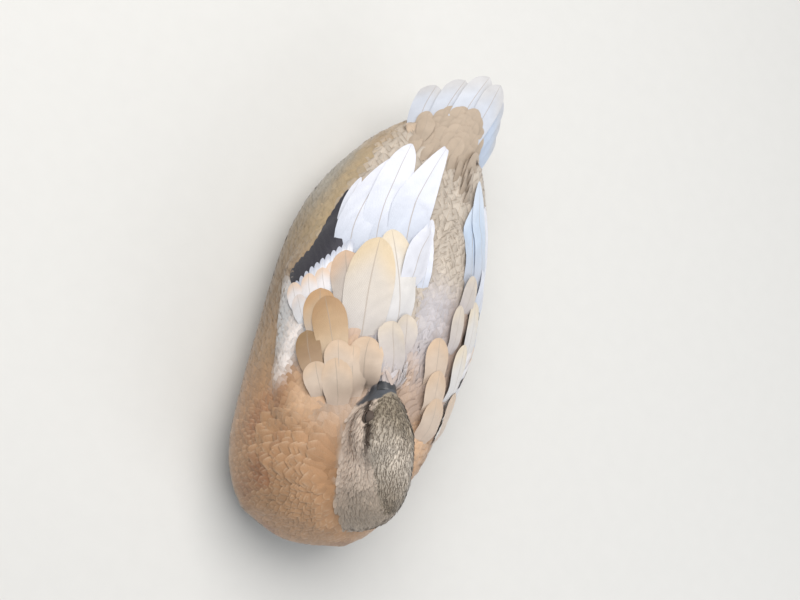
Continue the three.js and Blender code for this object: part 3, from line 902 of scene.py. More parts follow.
def build_coat(name, skin, part, seed, cover):
    """One part of the coat: scatters roots, drops those under the large feathers, and lays a vane from each."""
    spacing, length, width, rise, loose, slot, pattern = COATS[name]
    material = bpy.data.materials.get("small_feathers") or feather_material(
        "small_feathers", 9, 0.012, rgb("#a8896a"), bump=0.2, barb_tone=0.04, mottle_tone=0.16, roughness=0.62
    )
    on_head = name in ("head", "neck")
    root, lie = scatter_roots(skin, part == name, spacing * MM, seed, pattern, material, on_head)
    rng = np.random.default_rng(seed)
    lie = unit(lie + rng.normal(0, loose, lie.shape))
    place, normal, region = skin.snap(root)
    reach = place + lie * length * MM * 0.8
    hidden = covered(cover, place - normal * 0.001, normal) & covered(cover, reach - normal * 0.002, normal)
    if on_head:
        hidden |= (bare_face(place) > 0.5) | (skin.snap(reach)[2][:, HEAD_PARTS].sum(1) < 0.4)
    else:
        hidden |= skin.snap(reach)[2][:, HEAD_PARTS].sum(1) > 0.5
    root, lie = root[~hidden], lie[~hidden]
    many = len(root)
    long = length * MM * rng.uniform(0.85, 1.12, many)
    half = width * MM / 2 * rng.uniform(0.88, 1.1, many)
    middle, ahead, out = track_skin(skin, root, lie, long, pattern.stations, 0.2)
    low = rng.uniform(-0.0002, 0.0, many)
    middle = lift_off(middle, out, low, low + rise * MM * rng.uniform(0.9, 1.08, many), 0.8)
    rag = rng.normal(0, 0.03, (many, len(pattern))) * (pattern.along > 0.8)
    outline = vane_outline(pattern.along, 0.45, 0.5, 2.2, 0.5, 0.42)
    thick = np.full(many, 0.0003)
    places = place_vanes(pattern, middle, ahead, out, half, thick, 0.08, 0.3, outline, rag)
    place, _, region = skin.snap(root)
    if not on_head:
        region[:, HEAD_PARTS] = 0
    tone, tip, centre = (c[:, None] for c in markings(place, region))
    u, t = np.abs(pattern.across)[None, :, None], pattern.along[None, :, None]
    tones = tone + (tip - tone) * (ramp(t, 0.6, 1.0) * (0.55 + 0.45 * u))
    tones = tones + (centre - tones) * ((1 - u) * ramp(t, 0.25, 0.5))
    tones = tones * (1 + (0.14 if on_head else 0.09) * rng.uniform(-1, 1, (many, 1, 1)))
    shading = vane_shading(pattern, ahead, out)
    piece = join_vanes("coat_" + name, pattern, places, tones, material, bake_places(place, on_head), shading)
    return finish_piece(piece, slot)


# ---- large feathers ----
class Sheaf:
    """Gathers large feathers into one piece."""

    camber, round_tip = 0.08, 0.02

    def __init__(self, skin=None):
        self.skin = skin
        self.places, self.tones, self.shading = [], [], []

    def add(self, path, ahead, out, half, thick, tones, shape, lifts=None, hug=0.0):
        """One feather along a path. With hug above 0 it is drawn to the skin, lifts above it."""
        pattern, camber = LARGE_VANE, self.camber
        outline = vane_outline(pattern.along, *shape)
        rim = np.clip(np.abs(pattern.across) - 0.7, 0, 1) * np.sin(pattern.along * 40 + len(self.places) * 1.7) * 0.05
        line = (path[None], ahead[None], out[None])
        size = (np.array([half]), np.array([0.0]))
        places = place_vanes(pattern, *line, *size, camber, self.round_tip, outline, rim[None])[0]
        side = unit(np.cross(ahead, out))[pattern.row]
        normal = unit(out[pattern.row] + side * (2 * camber * pattern.across)[:, None])
        if hug:
            near, smooth, _ = self.skin.snap(places)
            places = places * (1 - hug) + (near + smooth * lifts[pattern.row][:, None]) * hug
            normal = unit(normal * (1 - hug) + smooth * hug)
        ridge = 0.35 * np.exp(-((pattern.across / 0.1) ** 2)) * (1 - pattern.along)
        places = places + normal * (ridge * thick)[:, None]
        places = places - normal * (pattern.under * thick * (1 - 0.6 * np.abs(pattern.across)))[:, None]
        base, tone, tip = (np.array(c) for c in tones)
        t, u = pattern.along, np.abs(pattern.across)
        colour = mix(mix(base, tone, ramp(t, 0.2, 0.62)), tip, ramp(t + 0.15 * u, 0.66, 1.0))
        cloud = waves(places, 0.009, len(self.places)) + 0.6 * waves(places * [1, 0.25, 1], 0.003, len(self.places) + 9)
        self.places.append(places)
        self.tones.append(colour * (1 + 0.045 * cloud)[:, None])
        self.shading.append(normal)

    def build(self, name, material, slot, *nodes):
        places, tones, shading = (np.array(a) for a in (self.places, self.tones, self.shading))
        piece = join_vanes(name, LARGE_VANE, places, tones, material, None, shading)
        return finish_piece(piece, slot, *nodes)


def body_path(skin, root, middle, tip, lift):
    """The middle line of a feather on the body, through three places given as (along, degrees over the back).

    Its root is sunk in the body, and it rises to lift, in millimetres, over the first part of its length.
    """
    path, out = [], []
    even, t, sunk, risen = np.linspace(0, 1, 24), LARGE_VANE.stations, -2.0, 0.45
    for share in even:
        a, b, c = (1 - share) * (1 - 2 * share), 4 * share * (1 - share), share * (2 * share - 1)
        y, turn = (a * p + b * q + c * r for p, q, r in zip(root, middle, tip))
        place, normal = skin.perch(y, turn, sunk + (lift - sunk) * ramp(share, 0.0, risen))
        path.append(place)
        out.append(normal)
    path, out = np.array(path), np.array(out)
    for _ in range(5):
        path[1:-1] = path[1:-1] * 0.5 + (path[:-2] + path[2:]) * 0.25
        out[1:-1] = unit(out[1:-1] * 0.5 + (out[:-2] + out[2:]) * 0.25)
    path, out = (np.stack([np.interp(t, even, a[:, k]) for k in range(3)], 1) for a in (path, out))
    lifts = sunk + (lift - sunk) * ramp(t, 0.0, risen)
    ahead = unit(np.gradient(path, t, axis=0))
    out = square_to(out, ahead)
    return path, ahead, out, lifts * MM


# Outlines of large feathers: half width at the root, where they start to narrow, and how: power and fall.
ROUND = (0.4, 0.66, 2.0, 0.5)
BLUNT = (0.6, 0.75, 2.2, 0.6)
BROAD = (0.6, 0.6, 2.0, 0.5)
POINTED = (0.6, 0.5, 1.9, 0.6)
LANCE = (0.6, 0.42, 1.3, 0.8)
# Large feathers from the lowest up: root, middle and tip as (along, degrees over the back), half width, lift, outline
# and colours.
PATCH = [
    ((-16, 30), (-2, 24), (12, 17.5), 5, 1.8, BLUNT, "dark"),
    ((-8, 34), (7, 28), (23, 20.5), 5.5, 1.9, BLUNT, "dark"),
    ((1, 39), (18, 32.5), (35, 24), 5.5, 2.0, BLUNT, "dark"),
    ((11, 42), (29, 34.5), (49, 25.5), 6, 2.1, BLUNT, "dark"),
    ((24, 43.5), (45, 35.5), (67, 24.5), 6, 2.2, BLUNT, "dark"),
    ((36, 44), (59, 35.5), (82, 26), 6, 2.3, BLUNT, "dark"),
    ((46, 45), (70, 36.5), (95, 27.5), 6, 2.4, BLUNT, "dark"),
]
LONG = [
    ((41, 43), (72, 34), (110, 31.5), 7, 2.6, POINTED, "white"),
    ((21, 50), (70, 42), (140, 47.5), 16, 3.8, POINTED, "white"),
    ((28, 62), (84, 53.5), (156, 53), 15.5, 4.8, (0.7, 0.62, 2.0, 0.55), "white"),
    ((40, 78), (98, 70.5), (172, 83), 19, 6.4, LANCE, "white"),
    ((23, 95), (47, 90), (78, 86.5), 6, 6.8, POINTED, "white"),
    ((16, 86), (46, 80), (91, 84), 13, 7.2, POINTED, "lilac"),
]
PATCH += [  # one more between each two
    (*(tuple((p + q) / 2 for p, q in zip(a[k], b[k])) for k in range(3)), a[3], a[4] + 0.05, BLUNT, "dark")
    for a, b in zip(PATCH, PATCH[1:])
]
BARS = [
    ((4.5 * i - 30, 30 + 1.7 * i), (4.5 * i - 17, 26.5 + 1.8 * i), (4.6 * i - 4, 22 + 2 * i), 3.2, 3.6, ROUND, "bar")
    for i in range(12)
]
COVERTS = [
    ((-9, 50), (7, 44), (23, 40), 7, 4.0, ROUND, "covert"),
    ((-16, 46), (0, 40), (15, 36), 7.5, 4.2, ROUND, "covert"),
    ((-24, 40), (-8, 34), (8, 30), 7.5, 4.4, ROUND, "covert"),
    ((-33, 34), (-16, 27.5), (-2, 22.5), 7.5, 4.6, ROUND, "covert"),
    ((-40, 38), (-26, 33), (-12, 28), 7.5, 4.8, ROUND, "small"),
]
SHOULDER_RIGHT = [
    ((-31, 88), (18, 77), (65, 63), 18, 4.9, BROAD, "cream"),
    ((-43, 69), (3, 62.5), (54, 59), 21, 5.7, BROAD, "sand"),
    ((-30, 61), (2, 53.5), (35, 44), 15, 5.0, ROUND, "rose"),
    ((-42, 92), (-16, 91.5), (3, 86.5), 11, 5.2, ROUND, "grey"),
    ((-62, 88), (-36, 83.5), (-9, 79), 15, 5.6, ROUND, "grey"),
    ((-55, 52), (-30, 45), (-3, 39), 15, 5.4, ROUND, "buff"),
    ((-68, 61), (-37, 52), (-9, 43.5), 15, 6.0, ROUND, "brown"),
    ((-75, 81.5), (-55, 75), (-32, 72), 16, 6.0, ROUND, "peach"),
    ((-80, 66), (-62, 61), (-42, 56.5), 12, 6.2, ROUND, "peach"),
    ((-85, 54.5), (-62, 46), (-41, 40), 11, 5.8, ROUND, "umber"),
    ((-88, 75), (-66, 69), (-42, 64.5), 13, 6.1, ROUND, "peach"),
    ((-95, 59), (-80, 53.5), (-64, 49.5), 12, 6.0, ROUND, "peach"),
    ((-98, 69), (-78, 64), (-57, 58), 13, 6.3, ROUND, "peach"),
]
LONG_LEFT = [
    ((36, 127), (84, 121.5), (143, 129), 13, 4.0, POINTED, "blue"),
    ((40, 138), (94, 131), (156, 125), 13, 4.8, POINTED, "blue"),
]
SHOULDER_LEFT = [
    ((18, 123), (42, 122), (64, 126), 11, 5.0, ROUND, "grey"),
    ((-25, 143), (13, 137), (46, 131), 15, 5.0, ROUND, "cream"),
    ((-21, 123.5), (6, 119.5), (32, 116.5), 8, 5.4, ROUND, "grey"),
    ((-60, 138.5), (-27, 134), (5, 129), 14, 5.8, ROUND, "cream"),
    ((-57, 117.5), (-30, 113.5), (-4, 109), 13, 6.0, ROUND, "peach"),
    ((-92, 150), (-62, 146), (-32, 142), 14, 5.4, ROUND, "peach"),
    ((-75, 124), (-54, 119.5), (-29, 116), 13, 6.4, ROUND, "peach"),
    ((-97, 128), (-73, 126), (-51, 120.5), 14, 6.6, ROUND, "peach"),
]


def mirrored(rows, shift):
    """The same feathers on the other side, turned by shift degrees over the back."""
    return [(*((y, 180 - turn + shift) for y, turn in row[:3]), *row[3:]) for row in rows]


# Colours at the base, the middle and the tip of the large feathers, besides those in the settings.
FEATHER_SHADES = {
    "blue": ("#b9bdc8", "#bccadc", "#d0d9e6"),
    "bar": ("#7d7f8e", "#eeeef4", "#c3c6d2"),
    "covert": ("#e8e8ec", "#e6dfde", "#e2c8b2"),
    "small": ("#d9d8da", "#d6d2d2", "#dccfc8"),
    "cream": ("#cfcccc", "#d6d1cc", "#dccdb6"),
    "sand": ("#c2bab4", "#c9bfb4", "#d4bf9f"),
    "rose": ("#b4aaa2", "#bbafa5", "#cdae93"),
    "grey": ("#b9b0ae", "#c4bab2", "#cdbfae"),
    "brown": ("#c8b195", "#b89874", "#ad8963"),
    "peach": ("#bca897", "#c8b4a1", "#ccb196"),
    "umber": ("#b0957a", "#9c7e5f", "#92744f"),
}


def feather_colours(wing):
    """Colours at the base, the middle and the tip of each kind of large feather."""
    return {kind: [rgb(code) for code in codes] for kind, codes in FEATHER_SHADES.items()} | {
        "dark": (rgb("#3a3742"), wing.speculum, wing.speculum),
        # the grey-blue base of the white feathers is painted shade
        "white": (rgb("#c3c8d4"), rgb("#dcdee8"), wing.white),
        "lilac": (wing.tertial, wing.tertial, wing.white),
        "buff": (wing.pale_base, rgb("#c3a98c"), wing.buff),
    }


def build_wings(wing):
    """Lays the large feathers of both wings and shoulders in eight pieces."""
    skin = Skin()
    look = {"bump": 0.35, "barb_tone": 0.05, "mottle_tone": 0.06, "roughness": 0.5}
    material = feather_material("large_feathers", 46, 0.014, rgb("#a39384"), **look)
    dark = feather_material("patch_feathers", 46, 0.014, rgb("#1b1920"), **look)
    colours = feather_colours(wing)
    groups = (
        ("wing_patch_right_vanes", PATCH, "white_feathers", ()),
        ("flight_right_vanes", LONG, "white_feathers", ("flight_feathers_right",)),
        ("wing_coverts_right_plumes", BARS + COVERTS, "back_feathers", ()),
        ("shoulder_right_plumes", SHOULDER_RIGHT, "back_feathers", ()),
        ("wing_patch_left_vanes", mirrored(PATCH, 4), "white_feathers", ()),
        ("flight_left_vanes", mirrored(LONG[:2], 6) + LONG_LEFT, "white_feathers", ("flight_feathers_left",)),
        ("wing_coverts_left_plumes", mirrored(BARS + COVERTS, 4), "back_feathers", ()),
        ("shoulder_left_plumes", SHOULDER_LEFT, "back_feathers", ()),
    )
    for name, rows, slot, nodes in groups:
        sheaf = Sheaf(skin)
        for root, middle, tip, half, lift, shape, kind in rows:
            path, ahead, out, lifts = body_path(skin, root, middle, tip, lift)
            sheaf.add(path, ahead, out, half * MM, wing.thickness, colours[kind], shape, lifts, hug=0.6)
        sheaf.build(name, dark if "patch" in name else material, slot, *nodes)


TAIL_HALF = 33  # half width of the tail's root, in millimetres
TAIL_SHAPE = (0.8, 0.72, 2.4, 0.6)  # outline of a tail feather, given as those above


def fan_height(u, y):
    """Height of the tail's fan: how far across it, in root half widths, and how far back, in millimetres."""
    return 2.2 * max(0, 1 - abs(u)) - 13 * u * u + (0.12 - 0.05 * abs(u)) * y


# Tips of the tail feathers in the tail's frame, from the duck's right, in millimetres: across, back.
TAIL_TIPS = ((-38, 52), (-22, 66), (-7, 78.5), (32, 50), (23, 62), (14.5, 73), (5.5, 79))
# Rows of coverts over the tail's base: how far back their tips reach, and from where to where across.
COVERT_ROWS = (
    (-6, 27, 42), (2, -38, 36), (9, -38, 34), (16, -36, 31), (23, -32, 26), (30, -27, 20), (37, -21, 13), (44, -13, 5)
)
COVERT_STEP = 8.5


def build_tail(tail):
    """Fans the tail feathers and lays rows of coverts over their base."""
    material = bpy.data.materials["large_feathers"]
    sheaf = Sheaf()
    for i, (across, back) in enumerate(TAIL_TIPS):
        start = np.clip(across * 0.9, -32, 32)
        layer = i if across < 0 else i - 3.4
        path, out = [], []
        for t in LARGE_VANE.stations:
            y = back * t
            x = start + (across - start) * t + math.copysign(2.5, across) * math.sin(math.pi * t)
            u = np.clip(x / TAIL_HALF, -1.15, 1.15)
            z = fan_height(u, y) + 0.9 * layer + 0.4
            path.append(placed(TAIL_FRAME, x, y, z))
            out.append(TAIL_FRAME.to_3x3() @ Vector((0.75 * u, 0, 1)))
        path, out = np.array(path), np.array(out)
        ahead = unit(np.gradient(path, LARGE_VANE.stations, axis=0))
        out = square_to(out, ahead)
        tone = mix(np.array(tail.colour), rgb("#bdc9dc"), np.array(0.9 if across > 12 else 0.25))
        tones = (tone * 0.92, tone, mix(tone, np.array(tail.tip), 0.5))
        sheaf.add(path, ahead, out, 12.5 * MM, 0.0008, tones, TAIL_SHAPE)
    sheaf.build("tail_vanes", material, "white_feathers", "tail")
    skin = Skin()
    sheaf = Sheaf()
    rng = np.random.default_rng(5)
    t = LARGE_VANE.stations[:, None]
    curve = (1 - t) * (1 - 2 * t), 4 * t * (1 - t), t * (2 * t - 1)
    for row, (back, first, last) in reversed(list(enumerate(COVERT_ROWS))):
        for across in np.arange(first, last + 1, COVERT_STEP) + 3 * (row % 2):
            across, reach = across + rng.normal(0, 1), back + rng.normal(0, 1.6)
            across = min(across, last)
            high = 3.2 if row < 3 else 3.6 + 0.4 * (7 - row)
            path = [
                placed(TAIL_FRAME, across * 0.9, reach - 28, 0),
                placed(TAIL_FRAME, across * 0.95, reach - 14, 0),
                placed(TAIL_FRAME, across, reach, fan_height(across / TAIL_HALF, reach) + high),
            ]
            for k, lift in ((0, 0.0005), (1, (high - 1) * MM)):
                fan = (TAIL_FRAME.inverted() @ path[k]) / MM
                fan_top = fan_height(fan.x / TAIL_HALF, fan.y) * MM + lift
                top = TAIL_FRAME @ Vector((fan.x * MM, fan.y * MM, fan_top))
                place = skin.tree.ray_cast(Vector((path[k].x, path[k].y, 0.2)), Vector((0, 0, -1)))[0]
                path[k] = top if place is None or place.z + lift < top.z else place + Vector((0, 0, lift))
            path = sum(share * np.array(p) for share, p in zip(curve, path))
            ahead = unit(np.gradient(path, LARGE_VANE.stations, axis=0))
            up = TAIL_FRAME.to_3x3() @ Vector((0.75 * across / TAIL_HALF, 0, 1))
            out = np.tile(np.array(up), (len(path), 1))
            out = square_to(out, ahead)
            tan = np.array(tail.covert) * rng.uniform(0.93, 1.05)
            sheaf.add(path, ahead, out, 8 * MM, 0.0005, (tan * 0.93, tan, tan * 1.04), ROUND)
    sheaf.build("tail_covert_plumes", material, "back_feathers")


# ---- head pieces ----
def loft(rings):
    """Points and faces of a closed form through rings of equal count."""
    points = [p for ring in rings for p in ring]
    n = len(rings[0])
    faces = []
    for i in range(len(rings) - 1):
        for k in range(n):
            a, b = i * n + k, i * n + (k + 1) % n
            faces.append((a, b, b + n, a + n))
    faces.append(tuple(reversed(range(n))))
    faces.append(tuple(range(len(points) - n, len(points))))
    return points, faces


def outward(piece):
    """Merges the piece's doubles and turns its faces outwards."""
    b = bmesh.new()
    b.from_mesh(piece.data)
    bmesh.ops.remove_doubles(b, verts=b.verts, dist=1e-7)
    bmesh.ops.recalc_face_normals(b, faces=b.faces)
    b.to_mesh(piece.data)
    b.free()
    shade_smooth(piece.data)
    return piece


def table_at(rows, y):
    """The row at y, between the rows of a table that starts with y."""
    for a, b in zip(rows, rows[1:]):
        if y <= b[0]:
            t = (y - a[0]) / (b[0] - a[0])
            return [p + (q - p) * t for p, q in zip(a, b)]
    return rows[-1]


# Sections of the bill along its length in millimetres: half width, top, bottom and height of the widest line.
UPPER_BILL = [
    (27, 9.5, 10, -2, 0), (34, 9.2, 8.5, -2, 0), (46, 8.8, 4.6, -2, 0), (60, 10, 2.4, -2, 0), (72, 11.2, 1.6, -2, -0.4),
    (80, 9, 1, -2.2, -0.6), (84, 4.5, 0.2, -2.2, -1),
]
LOWER_BILL = [
    (27, 8, -2, -8.5, -3), (40, 7.6, -2, -6.4, -3), (58, 8.4, -2, -5.2, -2.6), (72, 9.4, -2, -4.4, -2.4),
    (79, 7, -2.1, -3.8, -2.4), (81.5, 3.5, -2.2, -3.2, -2.4),
]


# A nostril on each side of the upper half, in millimetres: how far out, half its width, where it starts, its length.
NOSTRIL_SIDE, NOSTRIL_HALF, NOSTRIL_FROM, NOSTRIL_LONG = 4.4, 1.6, 38, 6


def build_bill(head):
    """Lofts the two halves of the bill, with a hollow for each nostril."""
    material = mottled_material("bill_horn", head.bill, 500, 0.2, 0.25, 0.38, Coat_Weight=0.2, Coat_Roughness=0.25)
    steps, turns = 30, 28
    for name, rows, upper in (("bill_upper", UPPER_BILL, True), ("bill_lower", LOWER_BILL, False)):
        rings = []
        first, last = rows[0][0], rows[-1][0]
        for i in range(steps + 1):
            y = first + (last - first) * (1 - (1 - i / steps) ** 1.3)
            _, half, top, bottom, middle = table_at(rows, y)
            ring = []
            for k in range(turns):
                turn = 2 * math.pi * k / turns
                c, s = math.cos(turn), math.sin(turn)
                x = half * math.copysign(abs(c) ** 0.85, c)
                z = middle + ((top if s > 0 else bottom) - middle) * abs(s) ** 0.9
                beside, behind = abs(x) - NOSTRIL_SIDE, y - NOSTRIL_FROM
                if upper and s > 0 and abs(beside) < NOSTRIL_HALF and 0 < behind < NOSTRIL_LONG:
                    z -= math.cos(beside / NOSTRIL_HALF * 1.57) * math.sin(behind / NOSTRIL_LONG * math.pi)
                ring.append(placed(HEAD_FRAME, x, y, z))
            rings.append(ring)
        piece = outward(mesh_object(name + "_horn", *loft(rings), material))
        finish_piece(piece, "bill", name)


def sphere_rings(centre, radius, turns=24, steps=16):
    rings = []
    for i in range(1, steps):
        polar = math.pi * i / steps
        wide, high = radius * math.sin(polar), radius * math.cos(polar)
        angles = [2 * math.pi * k / turns for k in range(turns)]
        rings.append([centre + Vector((wide * math.cos(a), wide * math.sin(a), high)) for a in angles])
    return rings


EYE_RADIUS = 0.006
EYE_PLACE = (17.4, -1, 3)  # in the head's frame, in millimetres: to the side, along and up
LID_SHELLS = (0.0062, 0.0066)  # radii of the inner and outer face of the lids
LID_ROWS, LID_COLUMNS = 8, 20


def lid_rim(sheet):
    """The points round the edge of a lid's sheet, in order."""
    far_side = [row[-1] for row in sheet[1:]]
    near_side = [row[0] for row in reversed(sheet[1:-1])]
    return sheet[0] + far_side + list(reversed(sheet[-1][:-1])) + near_side


def build_eyes(head):
    """Makes both eyeballs, and over each two closed lids with a narrow slit between them."""
    ball = mottled_material("eye_ball", head.eyeball, 900, 0.3, 0.0, 0.08, Coat_Weight=1.0, Coat_Roughness=0.03)
    lid = mottled_material("eye_lid", head.lid, 1400, 0.2, 0.6, 0.7)
    for side, name in ((-1, "left"), (1, "right")):
        centre = placed(HEAD_FRAME, side * EYE_PLACE[0], *EYE_PLACE[1:])
        piece = outward(mesh_object("eyeball_" + name, *loft(sphere_rings(centre, EYE_RADIUS)), ball))
        finish_piece(piece, "eye", "eye_" + name)
        out = (HEAD_FRAME.to_3x3() @ Vector((side, 0, 0.12))).normalized()
        along = (HEAD_FRAME.to_3x3() @ Vector((0, 1, 0.15))).normalized()
        up = out.cross(along).normalized()
        if up.dot(HEAD_FRAME.to_3x3() @ Vector((0, 0, 1))) < 0:
            up = -up
        lids = bmesh.new()
        gap = math.asin(head.lid_gap / 2 / LID_SHELLS[0])
        for half in (1, -1):
            sheets = []
            for shell in LID_SHELLS:
                sheet = []
                for i in range(LID_ROWS + 1):
                    rise = half * (gap + (math.pi / 2 - gap) * i / LID_ROWS)
                    row = []
                    for k in range(LID_COLUMNS + 1):
                        turn = -math.pi / 2 + math.pi * k / LID_COLUMNS
                        corner = abs(turn) / (math.pi / 2)
                        tilt = rise * (1 - corner**6) + half * 0.02
                        level = out * math.cos(tilt) * math.cos(turn) + along * math.sin(turn)
                        way = level + up * math.sin(tilt) * math.cos(turn)
                        row.append(lids.verts.new(centre + way.normalized() * shell))
                    sheet.append(row)
                sheets.append(sheet)
            for sheet in sheets:
                for a, b in zip(sheet, sheet[1:]):
                    for k in range(LID_COLUMNS):
                        lids.faces.new((a[k], a[k + 1], b[k + 1], b[k]))
            inner, outer = (lid_rim(sheet) for sheet in sheets)
            for k in range(len(inner)):
                nxt = (k + 1) % len(inner)
                lids.faces.new((inner[k], inner[nxt], outer[nxt], outer[k]))
        mesh = bpy.data.meshes.new("eyelids_" + name)
        bmesh.ops.remove_doubles(lids, verts=lids.verts, dist=1e-6)
        bmesh.ops.recalc_face_normals(lids, faces=lids.faces)
        lids.to_mesh(mesh)
        lids.free()
        shade_smooth(mesh)
        mesh.materials.append(lid)
        finish_piece(add_object("eyelids_" + name, mesh), "head_feathers")


# ---- feet ----
# Where the feet lie, in millimetres to the side and along; the toes' reach and their spread in degrees.
HEEL, TOE_JOINT = (46, 62), (44, 14)
HEEL_HEIGHT, JOINT_HEIGHT = 5.2, 3.4  # of the middle of the shank and of the toes' root
TOES = ((-17, 44), (0, 49), (17, 44))


def tube(path, radii, sides=12):
    """Points and faces of a rounded form round a line near the floor, flat where it meets the floor."""
    rings = []
    for i, (place, radius) in enumerate(zip(path, radii)):
        ahead = (path[min(i + 1, len(path) - 1)] - path[max(i - 1, 0)]).normalized()
        side = ahead.cross(Vector((0, 0, 1))).normalized()
        up = side.cross(ahead)
        turns = [2 * math.pi * k / sides for k in range(sides)]
        ring = [place + side * (radius * math.cos(a)) + up * (radius * math.sin(a)) for a in turns]
        rings.append([Vector((p.x, p.y, max(p.z, FLOOR_GAP))) for p in ring])
    return loft(rings)


def gathered(name, parts, material):
    """One piece of many closed forms, each given by its points and faces."""
    points, faces = [], []
    for some_points, some_faces in parts:
        faces += [tuple(v + len(points) for v in face) for face in some_faces]
        points += some_points
    return outward(mesh_object(name, points, faces, material))


def build_feet(foot):
    """Makes shank, toes, webs and claws of both feet, folded under the belly."""
    material = mottled_material("foot_scales", foot.skin, 700, 0.25, 0.5, 0.5)
    claw = mottled_material("claw_horn", foot.claw, 900, 0.2, 0.2, 0.4)
    web = Vane(np.linspace(-1, 1, 9), 14)
    for side, name in ((LEFT, "left"), (RIGHT, "right")):
        joint = Vector((side * TOE_JOINT[0], TOE_JOINT[1], JOINT_HEIGHT)) * MM
        heel = Vector((side * HEEL[0], HEEL[1], HEEL_HEIGHT)) * MM
        steps = [i / 18 for i in range(19)]
        ends = [0.6 if t in (0, 1) else 1 for t in steps]
        shank = [(5.2 - 1.2 * t) * (1 + 0.03 * (i % 2)) * end * MM for i, (t, end) in enumerate(zip(steps, ends))]
        parts = [tube([heel.lerp(joint, t) for t in steps], shank)]
        claws, ways = [], []
        for turn, reach in TOES:
            turn = math.radians(turn)
            way = Vector((math.sin(turn), -math.cos(turn), 0))
            ways.append(way * reach * MM)
            path = [joint + way * (reach * t - 2) * MM - Vector((0, 0, 0.9 * t * MM)) for t in steps]
            thick = [(3.3 - 1.0 * t + 0.35 * math.cos(t * 19)) * end * MM for t, end in zip(steps, ends)]
            parts.append(tube(path, thick))
            curve = [i / 8 for i in range(9)]
            nail = [path[-1] + way * (6 * t - 1.5) * MM + Vector((0, 0, 0.9 - 2.2 * t * t)) * MM for t in curve]
            claws.append(tube(nail, [(1.5 - 1.3 * t) * MM for t in curve]))
        for a, b in zip(ways, ways[1:]):
            rim = []
            for across, along, under in zip(web.across, web.along, web.under):
                share = (across + 1) / 2
                reach = along * (0.94 - 0.14 * math.sin(math.pi * share))
                fold = 0.25 * math.sin(share * 19) * along
                place = joint + a.lerp(b, share) * reach
                rim.append(Vector((place.x, place.y, (2.0 + fold - 1.1 * under) * MM)))
            parts.append((rim, [tuple(f) for f in web.faces]))
        piece = gathered("foot_skin_" + name, parts, material)
        finish_piece(piece, "foot", "foot_" + name, "leg_" + name)
        finish_piece(gathered("claws_" + name, claws, claw), "foot")


# ---- stage ----
CAMERA_LEAN = (24, 18)  # degrees from straight above: to the duck's right and towards its breast
CAMERA_ROLL = 19.5
CAMERA_AIM = Vector((0, 0.005, 0.080))
CAMERA_SHIFT = ((400 - 377) / 800, (322 - 300) / 800)
FLOOR_HALF = 3
LAMP_AIM = Vector((0, 0, 0.05))


def build_stage(stage):
    """Sets a plain floor, the camera above the duck's right side, two soft lamps and a pale sky."""
    scene = bpy.context.scene
    scene.view_settings.view_transform = "Standard"
    corners = [(x * FLOOR_HALF, y * FLOOR_HALF, 0) for x, y in ((-1, -1), (1, -1), (1, 1), (-1, 1))]
    floor = mesh_object("floor", corners, [(0, 1, 2, 3)])
    floor.data.materials.append(mottled_material("floor_paint", stage.floor, 60, 0.02, 0.0, 0.85))
    back = Vector((*(-math.tan(math.radians(lean)) for lean in CAMERA_LEAN), 1)).normalized()
    body_up = (Vector((0, 1, 0)) - back * back.y).normalized()
    body_right = body_up.cross(back)
    roll = math.radians(CAMERA_ROLL)
    up = body_up * math.cos(roll) - body_right * math.sin(roll)
    right = up.cross(back)
    data = bpy.data.cameras.new("camera")
    data.lens = stage.lens
    data.sensor_width = 36
    data.shift_x, data.shift_y = CAMERA_SHIFT
    camera = add_object("camera", data)
    place = CAMERA_AIM + back * stage.distance
    camera.matrix_world = Matrix.Translation(place) @ Matrix((right, up, back)).transposed().to_4x4()
    scene.camera = camera
    for name, spot, size, power, colour in (
        ("key_light", (-0.5, 0.5, 1.6), 1.6, stage.key_power, (1, 0.985, 0.965)),
        ("fill_light", (1.2, -0.8, 0.8), 1.2, stage.fill_power, (0.95, 0.97, 1)),
    ):
        lamp = bpy.data.lights.new(name, "AREA")
        lamp.size = size
        lamp.energy = power
        lamp.color = colour
        made = add_object(name, lamp)
        made.location = spot
        made.rotation_euler = (LAMP_AIM - Vector(spot)).to_track_quat("-Z", "Y").to_euler()
    world = bpy.data.worlds.new("studio")
    world.use_nodes = True
    world.node_tree.nodes["Background"].inputs[0].default_value = (0.9, 0.95, 1, 1)
    world.node_tree.nodes["Background"].inputs[1].default_value = 0.45
    scene.world = world


# ---- operators ----
class DuckOperator:
    bl_options = {"REGISTER", "UNDO"}


class DUCK_OT_skin(DuckOperator, bpy.types.Operator):
    """Joins the solids of the body in one skin"""

    bl_idname = "duck.skin"
    bl_label = "Skin"

    def execute(self, context):
        build_skin(context.scene.duck_body)
        return {"FINISHED"}


class DUCK_OT_coat(DuckOperator, bpy.types.Operator):
    """Lays the small feathers over the skin"""

    bl_idname = "duck.coat"
    bl_label = "Coat"

    def execute(self, context):
        skin = Skin()
        part = coat_part(skin)
        cover = large_feather_tree()
        for i, name in enumerate(COATS):
            build_coat(name, skin, part, context.scene.duck_body.seed + i, cover)
        return {"FINISHED"}


class DUCK_OT_wings(DuckOperator, bpy.types.Operator):
    """Lays the large feathers of the wings and shoulders"""

    bl_idname = "duck.wings"
    bl_label = "Wings"

    def execute(self, context):
        build_wings(context.scene.duck_wing)
        return {"FINISHED"}


class DUCK_OT_tail(DuckOperator, bpy.types.Operator):
    """Fans the tail feathers"""

    bl_idname = "duck.tail"
    bl_label = "Tail"

    def execute(self, context):
        build_tail(context.scene.duck_tail)
        return {"FINISHED"}


class DUCK_OT_bill(DuckOperator, bpy.types.Operator):
    """Shapes the two halves of the bill"""

    bl_idname = "duck.bill"
    bl_label = "Bill"

    def execute(self, context):
        build_bill(context.scene.duck_head)
        return {"FINISHED"}


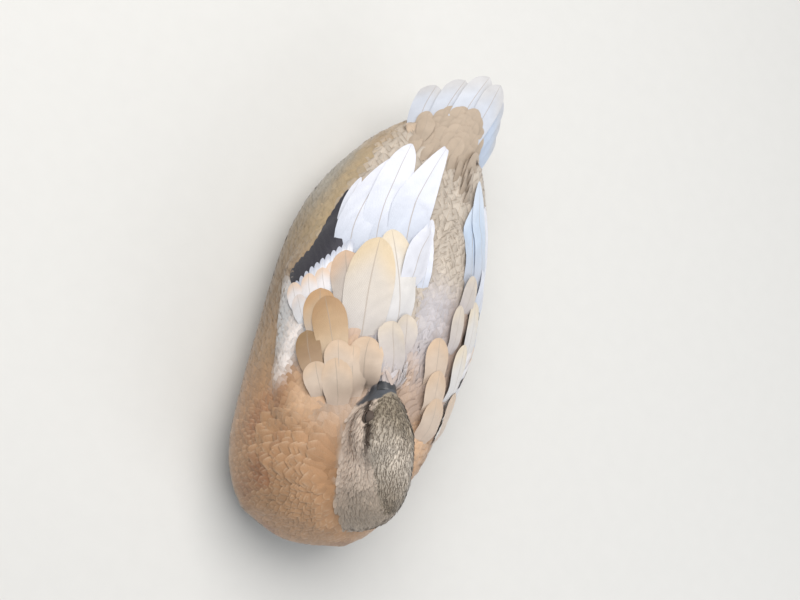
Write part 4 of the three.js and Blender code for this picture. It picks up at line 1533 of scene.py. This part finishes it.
class DUCK_OT_eyes(DuckOperator, bpy.types.Operator):
    """Makes the eyes and their lids"""

    bl_idname = "duck.eyes"
    bl_label = "Eyes"

    def execute(self, context):
        build_eyes(context.scene.duck_head)
        return {"FINISHED"}


class DUCK_OT_feet(DuckOperator, bpy.types.Operator):
    """Makes the webbed feet"""

    bl_idname = "duck.feet"
    bl_label = "Feet"

    def execute(self, context):
        build_feet(context.scene.duck_foot)
        return {"FINISHED"}


class DUCK_OT_stage(DuckOperator, bpy.types.Operator):
    """Sets the floor, the lights and the camera"""

    bl_idname = "duck.stage"
    bl_label = "Stage"

    def execute(self, context):
        build_stage(context.scene.duck_stage)
        return {"FINISHED"}


STEPS = (
    DUCK_OT_skin,
    DUCK_OT_wings,
    DUCK_OT_tail,
    DUCK_OT_coat,
    DUCK_OT_bill,
    DUCK_OT_eyes,
    DUCK_OT_feet,
    DUCK_OT_stage,
)
SETTINGS = {
    "duck_body": DuckBodySettings,
    "duck_head": DuckHeadSettings,
    "duck_wing": DuckWingSettings,
    "duck_tail": DuckTailSettings,
    "duck_foot": DuckFootSettings,
    "duck_stage": DuckStageSettings,
}


class DUCK_PT_panel(bpy.types.Panel):
    """Steps and settings of the duck"""

    bl_idname = "DUCK_PT_panel"
    bl_label = "Resting duck"
    bl_space_type = "VIEW_3D"
    bl_region_type = "UI"
    bl_category = "Duck"

    def draw(self, context):
        for step in STEPS:
            self.layout.operator(step.bl_idname)
        for key, group in SETTINGS.items():
            box = self.layout.box()
            for name in group.__annotations__:
                box.prop(getattr(context.scene, key), name)


CLASSES = (*SETTINGS.values(), *STEPS, DUCK_PT_panel)


def register():
    for item in CLASSES:
        bpy.utils.register_class(item)
    for key, group in SETTINGS.items():
        setattr(bpy.types.Scene, key, PointerProperty(type=group))


def unregister():
    for key in SETTINGS:
        delattr(bpy.types.Scene, key)
    for item in reversed(CLASSES):
        bpy.utils.unregister_class(item)


def main():
    register()
    for step in STEPS:
        group, name = step.bl_idname.split(".")
        getattr(getattr(bpy.ops, group), name)()
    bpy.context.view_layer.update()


if __name__ == "__main__":
    main()
